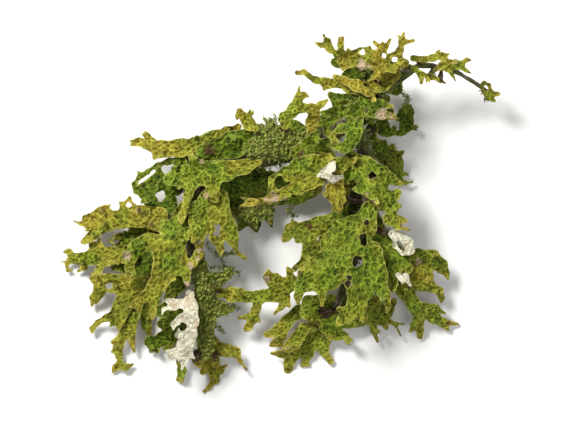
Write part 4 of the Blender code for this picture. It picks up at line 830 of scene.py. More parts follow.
def grow_frond(name, branches, holes, tone, height, below, curl):
    """Build a frond: cut it out, raise its net, curl its margin and give it its thickness."""
    seed = 11 * len(laid)
    pale_side_up = tone is None
    bm = cut_sheet(branches, holes, seed, PITCH)
    row = bm.verts.layers.int.new("row")
    verts = bm.verts[:]
    for k, vert in enumerate(verts):
        vert[row] = k
    flat = flat_points(verts)
    x = flat[:, 0]
    y = flat[:, 1]
    thicken(bm, 1.0)
    mesh = to_new_mesh(bm, name)

    margin = -frond_margin(branches, holes, seed, x, y)
    _, _, width, angle, outward = branch_fields(branches, NARROWEST_TIP, x, y)
    ridge, hollow = ridge_net(branches, seed, x, y)
    inner = np.clip(margin / 0.8, 0.0, 1.0)
    relief = RIDGE_HEIGHT * ridge * (0.35 + 0.65 * inner) - HOLLOW_DEPTH * hollow * inner
    relief += CRUMPLE * patchy(x, y, 0.9, seed + 12)
    if pale_side_up:
        relief = -0.8 * relief
    curling = np.clip(1.0 - margin / 2.4, 0.0, 1.0) ** 2
    wave = patchy(x, y, 5.0, seed + 5) + 0.35 * patchy(x, y, 2.2, seed + 6)
    thick = RIM_SHEET + (SHEET - RIM_SHEET) * np.clip(margin / 0.9, 0.0, 1.0) ** 0.6
    upper = buckled(read_smoothly(height, x, y), x, y) - 0.38 + relief + curl * curling * (wave + 0.25)
    resting = buckled(read_smoothly(below, x, y), x, y)
    upper = np.maximum(upper, np.maximum(resting, SURFACE) + thick)
    lower = upper - thick

    points = read_points(mesh)
    top_side = points[:, 2] > 0.5
    source = np.empty(len(points), np.int32)
    mesh.attributes["row"].data.foreach_get("value", source)
    points[:, 2] = np.where(top_side, upper[source], lower[source])
    loops = np.empty(len(mesh.loops), np.int32)
    starts = np.empty(len(mesh.polygons), np.int32)
    mesh.loops.foreach_get("vertex_index", loops)
    mesh.polygons.foreach_get("loop_start", starts)
    under_face = np.maximum.reduceat(top_side[loops].astype(np.int32), starts) == 0
    mesh.polygons.foreach_set("material_index", under_face.astype(np.int32))

    marks = frond_marks(seed, tone or (0.0, 0.0), margin, width, outward, x, y)
    marks["net"] = ridge
    for label, values in marks.items():
        write_attribute(mesh, label, values[source])
    write_points(mesh, points)

    rng = np.random.default_rng(seed + 10)
    if not pale_side_up:
        for k in rng.choice(np.flatnonzero((margin > 1.0) & (margin < 3.0)), len(x) // 60, replace=False):
            skins.append((x[k], y[k], upper[k], angle[k], marks["gold"][k], marks["dark"][k]))
    bodies.append(np.column_stack([x, y, lower])[margin > min(1.2, 0.6 * margin.max())])
    inward = np.flatnonzero(margin > 1.3)
    for k in rng.choice(inward, min(len(inward), int(len(x) * PITCH ** 2 / 7.0)), replace=False):
        drop = lower[k] - resting[k]
        roots.append((x[k], y[k], lower[k], lower[k] - (drop if drop < LONGEST_ROOT else LOOSE_ROOT)))

    sides = [frond_underside, frond_upper] if pale_side_up else [frond_upper, frond_underside]
    slot = "lobe_pale" if pale_side_up else "lobe_green"
    add_piece(name.replace("lobe", "frond"), mesh, sides, slot, name)


def grow_fronds(fronds, holes, tones, ceiling, curl):
    """Lay and build a group of fronds one after another, from the lowest to the highest."""
    for name, branches in fronds.items():
        own_holes = holes.get(name, [])
        top, below = lay_sheet(name, branches, own_holes, LOBE_THICKNESS, ceiling)
        grow_frond(name, branches, own_holes, tones.get(name), top, below, curl)


def summed(tree, first, share, second, other_share, offset):
    """first * share + second * other_share + offset."""
    part = add_node(tree, "Math", {0: first, 1: share, 2: offset}, operation="MULTIPLY_ADD")
    return add_node(tree, "Math", {0: second, 1: other_share, 2: part.outputs[0]},
                    operation="MULTIPLY_ADD", use_clamp=True).outputs[0]


def make_frond_upper():
    """Leathery green, lighter on the ridges and very dark in the hollows, partly painted shade, browned at
    the margin, with specks of damp gloss.
    """
    material, tree, shader = new_material("frond_upper", 0.6, 0.11)
    tone, grain = mottle(tree, FROND_GRAIN)
    speck = stretched(tree, grain, 0.34, 0.66)
    # how raised each point is; the hollows it darkens are partly painted shade
    raised = summed(tree, reading(tree, "net"), NET_SHARE, speck, SPECK_SHARE, -0.01)
    raised = summed(tree, tone, TONE_SHARE, raised, 1.05, -0.24)
    green = mixed(tree, raised, GREEN_HOLLOW, GREEN_RIDGE)
    gold = mixed(tree, raised, GOLD_HOLLOW, GOLD_RIDGE)
    # the dark colours: partly the frond's own darker green and partly painted shade
    dark = mixed(tree, raised, DARK_AND_SHADE_HOLLOW, DARK_AND_SHADE_RIDGE)
    colour = mixed(tree, stretched(tree, reading(tree, "gold"), 0.05, 0.95), green, gold)
    colour = mixed(tree, stretched(tree, reading(tree, "dark"), 0.05, 0.95), colour, dark)
    colour = mixed(tree, stretched(tree, reading(tree, "rim"), 0.2, 1.0, 0.0, 0.75), colour, MARGIN_PALE)
    colour = mixed(tree, reading(tree, "dead"), colour, DEAD_PINK)
    colour = mixed(tree, reading(tree, "stain"), colour, STAIN_BROWN)
    tree.links.new(colour, shader.inputs["Base Color"])
    tree.links.new(stretched(tree, grain, 0.52, 0.72, 0.66, 0.24), shader.inputs["Roughness"])
    bump(tree, shader, grain, 0.7, 0.00035)
    return material


def make_frond_underside():
    """Pale and bald on the bulges, with short brown felt in the grooves between them."""
    material, tree, shader = new_material("frond_underside", 0.8, 0.25)
    tone, grain = mottle(tree, FROND_GRAIN)
    pale = mixed(tree, stretched(tree, tone, 0.2, 1.0, 0.0, 0.75), UNDERSIDE_CREAM, UNDERSIDE_TAN)
    felted = mixed(tree, stretched(tree, reading(tree, "net"), 0.1, 0.9, 0.0, 0.4), pale, FELT_BROWN)
    felted = mixed(tree, stretched(tree, grain, 0.50, 0.72, 0.0, 0.75), felted, FELT_BROWN)
    colour = mixed(tree, stretched(tree, reading(tree, "dead"), 0.2, 1.0, 0.0, 0.7), felted, DEAD_PINK)
    tree.links.new(colour, shader.inputs["Base Color"])
    tree.links.new(stretched(tree, tone, 0.0, 1.0, 0.7, 0.9), shader.inputs["Roughness"])
    bump(tree, shader, grain, 0.9, 0.0006)
    return material


# marks of age, as x, y and radius: brown rot, and dead patches bleached to pink
BROWN_SPOTS = [
    (14.5, -6.0, 1.7), (-46.0, -37.0, 1.6), (-33.0, -37.0, 1.4), (94.0, 76.5, 1.0), (94.0, 70.0, 1.0),
    (-17.0, -78.2, 1.8), (74.0, 69.0, 1.2), (10.4, 30.4, 2.6), (-35.5, 31.5, 3.0), (83.7, -54.6, 1.2),
    (41.0, 9.0, 1.2), (45.0, 5.4, 1.1), (49.0, 2.0, 1.1), (54.0, -2.6, 1.2), (60.0, -5.4, 1.1),
]
DEAD_SPOTS = [
    (50.5, 49.6, 3.6), (55.0, 48.8, 2.4), (-3.0, 8.0, 3.2), (-7.0, 7.4, 2.0), (40.0, 74.0, 3.0),
    (44.0, 73.0, 2.2), (-77.0, -21.0, 2.4), (-66.2, -70.0, 1.6), (69.0, -23.5, 2.0), (-2.0, 52.0, 1.2),
    (-46.0, -44.0, 3.0), (-54.0, -45.0, 2.4), (-40.4, -14.0, 1.7), (-40.4, -18.0, 1.6),
    (-41.6, -22.4, 1.7), (-45.0, -26.0, 2.2), (-46.6, -35.4, 2.0), (43.0, 10.0, 1.0), (47.0, 6.0, 1.0),
]

frond_upper = make_frond_upper()
frond_underside = make_frond_underside()
grow_fronds(FRONDS_UNDER, HOLES_UNDER, TONES_UNDER, twig_lower - TWIG_CLEARANCE, MARGIN_CURL)


# ---- The first fronds over the twig --------------------------------------------------------
# These spring from the twig's sides and hang down beside it, some tanned by the sun. Three thin
# ones have turned over and show the pale underside.
FRONDS_LOW = {
    "lobe_left_dark": [
        [(-54, 14, 5.6, 21), (-62, 14, 6, 18), (-68, 11.6, 4.6, 15), (-71.6, 11.6, 2, 13)],
        [(-61, 17, 4.6, 19), (-61, 22, 1.6, 18)],
        [(-57, 5, 5.4, 19), (-64, 5, 4, 17), (-67, 5.6, 1.8, 14)],
        [(-50, 27, 1.9, 24), (-56, 26.3, 1.5, 22), (-62, 24.4, 1, 20), (-67, 21, 1.2, 17),
         (-71, 18.6, 1.1, 15), (-73.6, 15, 1, 13), (-73.2, 11, 1.1, 13)],
        [(-69, 19.6, 0.9, 16), (-71.7, 21.2, 0.5, 15)],
        [(-49, 26, 2.4, 24), (-50, 18, 3, 22)],
    ],
    "lobe_left_golden": [
        [(-61, -1, 4.6, 21), (-70, -1, 5.4, 19), (-80, -0.6, 6.6, 17), (-88, -2.4, 6.6, 14),
         (-94, -3.8, 5, 11), (-98, -2.8, 2.3, 9)],
        [(-77, 3, 4.6, 17), (-75.8, 7.8, 1.1, 16)],
        [(-96, -5, 2.2, 10), (-100, -4.9, 0.9, 9), (-103.8, -3.6, 0.5, 9)],
        [(-91, -7, 4, 12), (-95.6, -11.6, 2.3, 8), (-98.4, -13.7, 1.5, 6), (-99.7, -14.1, 0.8, 5)],
    ],
    "lobe_left_hand": [
        [(-69, -35, 4.6, 15), (-78, -36, 5.6, 14), (-86, -34.4, 4.6, 12), (-92, -33, 3, 9),
         (-95.4, -32, 1.1, 8)],
        [(-86, -35, 4, 12), (-91, -38, 3, 9), (-94, -42, 2, 4), (-94.9, -45.8, 1, 1)],
        [(-91, -40, 2.6, 8), (-92.6, -44, 1.2, 6)],
        [(-76, -40, 5, 15), (-80, -47, 4.8, 13), (-81.4, -52, 3.8, 11), (-81.6, -57, 1.4, 8)],
        [(-81, -49, 4, 12), (-87, -52, 1.8, 9), (-92, -54.4, 1.4, 6), (-94.7, -57.5, 1.3, 4),
         (-95, -59.4, 0.8, 3)],
        [(-82.6, -53, 2.6, 10), (-85.6, -56.2, 0.7, 8)],
    ],
    "lobe_middle_pointer": [
        [(13, -32.6, 2.6, 21), (8, -34, 2.8, 21), (3, -36.6, 3.6, 20), (-2, -39.6, 4.6, 19),
         (-9, -41, 3.2, 17), (-17, -41.6, 2.9, 16), (-25, -40.8, 3.1, 15), (-29.5, -39, 1.6, 15),
         (-33.2, -37.2, 0.6, 16)],
        [(-20, -39.6, 2.6, 16), (-25.6, -37, 0.9, 17)],
        [(-11, -42, 3, 17), (-12.6, -48, 2.4, 14), (-14, -52.4, 2.6, 10), (-16.6, -57, 1.9, 6),
         (-17.8, -58, 1.2, 5)],
        [(-14.6, -51, 1.8, 11), (-21.2, -52, 0.8, 9)],
        [(-13, -51.6, 2, 11), (-10.7, -53.8, 0.7, 9)],
        [(0, -37.4, 4.2, 20), (-4, -33.4, 3.2, 22), (-6.4, -30.6, 2, 24), (-6.4, -28.8, 1.2, 25)],
        [(-3.6, -34, 2.8, 22), (-7.6, -31.8, 1.2, 23)],
        [(1, -35, 3.6, 21), (-2, -31.2, 1.8, 22)],
        [(5, -34, 3, 21), (4.4, -29, 1.6, 23), (3.4, -27, 0.9, 24)],
        [(1.6, -42.6, 2.6, 19), (0.6, -46, 1.7, 16), (-3.4, -50, 0.6, 13)],
        [(2.6, -42, 2.4, 19), (4, -46.2, 0.9, 16)],
    ],
    "lobe_right_hand": [
        [(60, -30, 4, 18), (68, -22.6, 5, 18), (75, -22.4, 4.6, 16), (80, -26, 3.5, 12),
         (83, -29.5, 1.6, 8), (83.7, -32.4, 0.7, 6)],
        [(63, -31, 5, 18), (70, -35, 3.6, 16), (75, -36.4, 2.8, 13), (79, -38.4, 2.1, 9),
         (80.6, -42, 1.5, 6), (80.3, -44.2, 0.8, 4)],
        [(61, -37, 4.4, 17), (66.4, -45, 3.6, 14), (71, -49, 3.6, 11), (76.4, -51.6, 3.1, 8),
         (82, -54.6, 2.1, 3), (89, -55.3, 0.5, 1.4)],
        [(81, -55, 2, 5), (84.1, -58.2, 0.6, 3)],
        [(70, -46.6, 2.6, 13), (77, -47.2, 2, 9), (82.6, -50, 0.5, 6)],
        [(67.4, -47, 3.4, 13), (69, -53, 2.6, 9), (69.6, -58, 1.9, 3), (69.5, -61.3, 1.6, 0.4)],
        [(68, -55, 2.6, 8), (64.8, -59, 0.8, 5)],
        [(72, -28, 3.6, 17), (75.4, -31.6, 1.4, 14)],
    ],
    "lobe_right_inner": [
        [(46, -8, 4, 24), (51, -16, 6, 23), (54, -26, 6.4, 22), (55.4, -32, 3.4, 22)],
        [(53, -17, 5, 23), (60, -22, 4.4, 22), (63, -27, 3, 21)],
        [(55.4, -32, 3, 22), (57.2, -35.4, 1.2, 24), (56.2, -37.8, 1, 25), (54.2, -38, 0.9, 26)],
    ],
    "lobe_pale_right": [
        [(55.6, -10, 2, 27), (60, -11.4, 2.3, 28), (63.4, -14.6, 2.5, 27), (64.6, -18, 2.3, 25),
         (62.6, -19.6, 1.2, 24)],
        [(56.2, -11, 1.4, 27), (57, -16, 0.9, 26), (60.6, -19.6, 0.9, 25), (63, -19, 1, 24)],
    ],
    "lobe_pale_strip": [
        [(58.6, -30.6, 1.2, 25), (62, -31.6, 1.9, 25), (64.6, -35.6, 0.8, 24)],
        [(59, -30.6, 1.2, 25), (60.6, -34.6, 0.6, 24)],
    ],
    "lobe_corner_olive": [
        [(30, -2, 4, 26), (20, -6, 5, 25), (11, -9, 5, 22), (5.4, -8, 3.6, 20), (2.6, -11.6, 2.1, 17),
         (1.4, -13.2, 1.1, 16)],
        [(7, -6, 2.4, 21), (5.6, -3.2, 0.9, 21)],
        [(9, -11, 3, 22), (8, -13.4, 1.2, 20)],
        [(29, -2, 4, 26), (29.6, 6, 3.8, 26), (31, 13, 3.6, 26)],
        [(14, -12, 4, 23), (15.6, -18, 4.6, 24), (14, -22, 4, 24), (9.4, -25.4, 1.6, 23),
         (6.6, -26.2, 0.8, 22)],
    ],
    "lobe_upper_left": [
        [(-41, 33.6, 4.2, 29), (-50, 33, 4.4, 27), (-60, 32.4, 4.3, 24), (-66, 35, 3.2, 21),
         (-71, 36.4, 2, 19), (-74.8, 36.4, 0.9, 18)],
        [(-65.6, 36.6, 2.6, 22), (-66.4, 40, 0.9, 20)],
        [(-70, 35.4, 1.8, 19), (-75.2, 34.3, 0.5, 17)],
        [(-62, 30, 2.6, 23), (-63.2, 28, 1, 21)],
        [(-42, 34.6, 4, 29), (-34, 37.6, 3.8, 30), (-26.4, 40.8, 2.8, 30), (-21.2, 43.6, 1.6, 30)],
    ],
    "lobe_ridge_back": [
        [(-38, 30.6, 4.6, 29), (-24, 34.4, 6.8, 29), (-14, 37.6, 6, 29), (-11.4, 42, 2.6, 28)],
    ],
}
HOLES_LOW = {
    "lobe_left_dark": [(-60, 9, 1.9)],
    "lobe_left_golden": [(-83.3, 3.8, 1.7), (-76.2, 5, 0.8)],
    "lobe_left_hand": [(-85.8, -36.4, 1.2)],
}
# how golden and how dark each one is; the darkness is partly the frond's own darker green and partly
# painted shade where others lie over it
TONES_LOW = {
    "lobe_left_dark": (0.0, 0.6),
    "lobe_left_golden": (0.5, 0.0),
    "lobe_left_hand": (0.45, 0.25),
    "lobe_middle_pointer": (0.15, 0.0),
    # painted light: a darkness below nought makes this low frond lighter, because it lies low and turns
    # away from the lamp
    "lobe_right_hand": (0.2, -0.4),
    "lobe_right_inner": (0.1, 0.45),
    "lobe_corner_olive": (0.4, 0.3),
    "lobe_upper_left": (0.45, 0.1),
    "lobe_ridge_back": (0.0, 0.65),
}
over_twig = np.where(twig_upper > 0.0, twig_upper - CLEARANCE + TWIG_CLEARANCE, 0.0)
np.maximum(heap_top, widened(over_twig), out=heap_top)
grow_fronds(FRONDS_LOW, HOLES_LOW, TONES_LOW, NOTHING_ABOVE, MARGIN_CURL)


# ---- The moss ------------------------------------------------------------------------------
# Cushions of a small leafy moss sit on the bark between the fronds. Each is a lumpy brown pad of
# old stems, covered in upright shoots a few millimetres long with pointed leaves all round.
MOSS_PADS = {
    "moss_ridge": [
        [(-12, 32, 6, 30), (-2, 35.6, 8.6, 31), (8, 33.6, 7, 30), (13, 37.6, 4, 28)],
        [(-5, 41, 4, 30), (-5, 46.4, 1.6, 30)],
        [(-11, 40, 2.8, 29), (-9.6, 44, 1.2, 29)],
    ],
    "moss_stem": [
        [(-41.4, -22, 3, 23), (-39.4, -32, 4.4, 22), (-37.4, -42, 5.4, 21), (-37, -53, 4.4, 19),
         (-38, -62, 4.2, 18), (-38, -69, 3.4, 17)],
        [(-38, -34.6, 3.4, 21), (-32.6, -33.4, 3.8, 17), (-27.6, -31, 2.4, 14), (-25.2, -27.4, 1.2, 12)],
        [(-36, -46, 4.4, 20), (-30, -47.4, 3.6, 16), (-25, -48, 1.6, 13)],
        [(-36, -49, 2, 19), (-32.6, -51, 1.2, 16)],
    ],
    "moss_underhang": [
        [(-23, 1, 2.6, 15), (-15, 0.6, 4.6, 15), (-8, 2.6, 3.6, 14)],
        [(-14, -3, 3.4, 12), (-13, -6, 1.6, 10)],
        [(-6.6, 0, 2, 13), (-5, -4.4, 1.1, 11)],
    ],
}
STRANDS = [                                # x, y and height along each loose strand
    [(-38.0, -14.0, 19.0), (-33.0, -20.0, 13.0), (-29.0, -24.0, 8.0), (-27.0, -29.0, 5.0)],
    [(-33.0, -20.0, 13.0), (-29.6, -19.0, 11.0), (-25.6, -20.6, 10.0), (-24.4, -18.6, 10.0)],
    [(-36.0, -27.0, 18.0), (-31.0, -26.4, 13.0), (-25.0, -27.6, 8.0), (-21.4, -30.0, 4.0)],
    [(-30.0, -47.0, 14.0), (-25.0, -45.6, 9.0), (-21.0, -47.4, 4.0)],
    [(-36.0, -55.0, 17.0), (-31.0, -56.6, 11.0), (-28.0, -60.0, 6.0)],
    [(2.0, 8.0, 24.0), (5.0, 3.4, 17.0), (4.0, 0.4, 12.0), (7.0, -1.6, 9.0)],
    [(-7.0, 45.0, 29.0), (-8.6, 48.0, 29.0)], [(-3.0, 45.0, 29.0), (-2.4, 49.4, 29.0)],
    [(60.0, 61.0, 12.0), (63.4, 58.0, 6.0), (62.0, 55.0, 2.0)],
]
STRAND_SHOOTS = 26
PAD_PITCH = 0.7
SHOOTS_PER_MM2 = 1.5
SHOOT_LENGTH = (1.7, 3.6)
SHOOT_LEAVES = 10
TWIG_SHOOTS = 2600
MOSS_DEEP = (0.14, 0.21, 0.010)
MOSS_GREEN = (0.46, 0.58, 0.040)
MOSS_TIP = (0.80, 0.82, 0.30)
MOSS_BROWN = (0.22, 0.17, 0.050)


def make_moss():
    """Leafy green that yellows towards the tips, brown where it is old."""
    material, tree, shader = new_material("moss_leaves", 0.6, 0.4)
    tone, grain = mottle(tree, 260.0)
    leaf = mixed(tree, tone, MOSS_GREEN, MOSS_DEEP)
    leaf = mixed(tree, stretched(tree, reading(tree, "tip"), 0.3, 1.0), MOSS_DEEP, leaf)
    leaf = mixed(tree, stretched(tree, reading(tree, "tip"), 0.75, 1.0, 0.0, 0.7), leaf, MOSS_TIP)
    leaf = mixed(tree, reading(tree, "old"), leaf, MOSS_BROWN)
    tree.links.new(leaf, shader.inputs["Base Color"])
    tree.links.new(stretched(tree, grain, 0.3, 0.7, 0.5, 0.8), shader.inputs["Roughness"])
    return material


def make_moss_pad():
    """The matted old stems under the shoots."""
    material, tree, shader = new_material("moss_pad", 0.95, 0.2)
    tone, grain = mottle(tree, 500.0)
    colour = mixed(tree, tone, MOSS_DEEP, MOSS_BROWN)
    tree.links.new(colour, shader.inputs["Base Color"])
    tree.links.new(stretched(tree, tone, 0.0, 1.0, 0.85, 1.0), shader.inputs["Roughness"])
    bump(tree, shader, grain, 0.9, 0.0006)
    return material


def as_arrays(bm):
    """The points of a small shape, and its triangles as rows of point numbers."""
    bmesh.ops.triangulate(bm, faces=bm.faces[:])
    bm.verts.index_update()
    verts = np.array([vert.co for vert in bm.verts])
    faces = np.array([[vert.index for vert in face.verts] for face in bm.faces])
    bm.free()
    return verts, faces


def moss_shoot():
    """One shoot, a unit long: a stem with pointed leaves set round it in a spiral."""
    bm = bmesh.new()
    bmesh.ops.create_cone(bm, segments=3, radius1=0.05, radius2=0.02, depth=0.9,
                          matrix=Matrix.Translation((0.0, 0.0, 0.45)))
    for k in range(SHOOT_LEAVES):
        share = (k + 0.5) / SHOOT_LEAVES
        spread = math.radians(62.0 - 38.0 * share)
        turn = Matrix.Rotation(k * 2.4, 4, "Z") @ Matrix.Rotation(spread, 4, "Y")
        blade = turn @ Matrix.Diagonal((0.35, 1.0, 1.0, 1.0)) @ Matrix.Translation((0.0, 0.0, 0.16))
        bmesh.ops.create_cone(bm, segments=3, radius1=0.085, radius2=0.0, depth=0.34,
                              matrix=Matrix.Translation((0.0, 0.0, 0.1 + 0.75 * share)) @ blade)
    return as_arrays(bm)


def joined_mesh(name, points, faces, copies):
    """One mesh of many copies of a small shape, from the points of all of them."""
    size = len(points) // copies
    every = (faces[None, :, :] + (np.arange(copies) * size)[:, None, None]).reshape(-1, 3)
    mesh = bpy.data.meshes.new(name)
    mesh.from_pydata(points.tolist(), [], every.tolist())
    return mesh


def join_copies(name, shape, places, ends, widths, bend):
    """Join copies of a unit shape, each stretched from its place to its end and bent aside."""
    verts, faces = shape
    count = len(places)
    axis = ends - places
    length = np.linalg.norm(axis, axis=1)
    axis = axis / length[:, None]
    side = np.cross(axis, np.array([0.31, 0.95, 0.05]))
    side /= np.linalg.norm(side, axis=1)[:, None]
    other = np.cross(axis, side)
    spin = np.random.default_rng(count).uniform(0.0, 2.0 * math.pi, count)[:, None]
    first = side * np.cos(spin) + other * np.sin(spin)
    second = np.cross(axis, first)
    points = places[:, None, :] + (
        first[:, None, :] * (verts[None, :, 0:1] * widths[:, None, None])
        + second[:, None, :] * (verts[None, :, 1:2] * widths[:, None, None])
        + axis[:, None, :] * (verts[None, :, 2:3] * length[:, None, None]))
    points = (points + (verts[:, 2] ** 2)[None, :, None] * bend[:, None, :]).reshape(-1, 3)
    mesh = joined_mesh(name, points, faces, count)
    write_attribute(mesh, "tip", np.tile(verts[:, 2], count))
    write_attribute(mesh, "old", np.repeat(np.random.default_rng(count + 1).random(count) ** 3, len(verts)))
    write_points(mesh, points)
    return mesh


def lean(rng, count, most):
    """Directions that lean away from straight up."""
    tilt = rng.uniform(0.0, most, count)
    turn = rng.uniform(0.0, 2.0 * math.pi, count)
    return np.stack([np.sin(tilt) * np.cos(turn), np.sin(tilt) * np.sin(turn), np.cos(tilt)], axis=1)


moss_leaves = make_moss()
pad_brown = make_moss_pad()
shoot = moss_shoot()
for name, branches in MOSS_PADS.items():
    top, below = lay_sheet(name, branches, [], MOSS_THICKNESS, NOTHING_ABOVE)
    seed = 11 * len(laid)
    rng = np.random.default_rng(seed)
    bm = cut_sheet(branches, [], seed, PAD_PITCH)
    bmesh.ops.translate(bm, verts=bm.verts[:], vec=(0.0, 0.0, -1.0))
    thicken(bm, 2.0)
    mesh = to_new_mesh(bm, name)
    points = read_points(mesh)
    x = points[:, 0]
    y = points[:, 1]
    margin = -frond_margin(branches, [], seed, x, y)
    lumps = 0.6 * patchy(x, y, 1.6, seed) + 0.4 * patchy(x, y, 0.8, seed + 1)
    body = (MOSS_THICKNESS - 0.6) * np.clip(margin / 2.0, 0.15, 1.0) ** 0.5
    middle = buckled(read_smoothly(top, x, y), x, y) - 0.5 * MOSS_THICKNESS - 0.3
    points[:, 2] = middle + np.sign(points[:, 2]) * 0.5 * body + 0.4 * lumps
    write_points(mesh, points)
    add_piece(name.replace("moss", "moss_pad"), mesh, [pad_brown], "moss_green", name)

    box = np.array([point[:2] for branch in branches for point in branch])
    low = box.min(0) - 9.0
    high = box.max(0) + 9.0
    spots = rng.uniform(low, high, (int(np.prod(high - low) * SHOOTS_PER_MM2), 2))
    inside = frond_margin(branches, [], seed, spots[:, 0], spots[:, 1]) < -0.2
    spots = spots[inside]
    base = buckled(read_smoothly(top, spots[:, 0], spots[:, 1]), spots[:, 0], spots[:, 1]) - 1.1
    feet = np.column_stack([spots, base])
    length = rng.uniform(*SHOOT_LENGTH, len(feet))
    heads = feet + lean(rng, len(feet), 1.15) * length[:, None]
    droop = lean(rng, len(feet), 3.0) * 0.5
    mesh = join_copies(name, shoot, feet, heads, length * 1.15, droop)
    add_piece(name.replace("moss", "moss_shoots"), mesh, [moss_leaves], "moss_green")

# loose strands trail from the mossy branch over the surface
rng = np.random.default_rng(6)
feet = []
for strand in STRANDS:
    line = np.array(strand, float)
    share = np.sort(rng.uniform(0.0, len(line) - 1.0, STRAND_SHOOTS * (len(line) - 1)))
    along = np.stack([np.interp(share, np.arange(len(line)), line[:, k]) for k in range(3)], axis=1)
    along[:, 0] += 0.8 * patchy(share * 9.0, share * 0.0, 3.0, len(feet))
    feet.append(along + rng.normal(0.0, 0.35, along.shape) * (1.0, 1.0, 0.3))
feet = np.concatenate(feet)
length = rng.uniform(1.2, 2.4, len(feet))
heads = feet + lean(rng, len(feet), 2.2) * length[:, None]
heads[:, 2] = np.maximum(heads[:, 2], 0.3)
mesh = join_copies("moss_strands", shoot, feet, heads, length * 1.2, np.zeros((len(feet), 3)))
add_piece("moss_shoots_loose", mesh, [moss_leaves], "moss_green")

# thinner tufts along the bark itself, on its upper half and sides
rng = np.random.default_rng(5)
feet = []
heads = []
for twig, share in (("twig_stem", 0.55), ("twig_branch_left", 0.25), ("twig_branch_right", 0.2)):
    _, walk = twig_line(TWIGS[twig])
    walk = walk[: int(len(walk) * 0.93)]
    picked = rng.integers(2, len(walk) - 2, int(TWIG_SHOOTS * share))
    clumped = patchy(picked * RING_STEP, picked * 0.0, 5.0, len(walk)) > -0.6
    picked = picked[clumped]
    ahead = walk[picked + 1, :3] - walk[picked - 1, :3]
    ahead /= np.linalg.norm(ahead, axis=1)[:, None]
    across = np.cross(ahead, np.array([0.0, 0.0, 1.0]))
    upward = np.cross(across, ahead)
    angle = rng.uniform(-0.35 * math.pi, 1.35 * math.pi, len(picked))[:, None]
    outward = across * np.cos(angle) + upward * np.sin(angle)
    start = walk[picked, :3] + outward * walk[picked, 3:4] * 0.95
    reach = rng.uniform(1.2, 2.7, len(picked))[:, None]
    feet.append(start)
    heads.append(start + (outward + 0.5 * lean(rng, len(picked), 3.0)) * reach)
feet = np.concatenate(feet)
heads = np.concatenate(heads)
length = np.linalg.norm(heads - feet, axis=1)
mesh = join_copies("moss_on_bark", shoot, feet, heads, length * 1.1, np.zeros((len(feet), 3)))
add_piece("moss_shoots_bark", mesh, [moss_leaves], "moss_green")


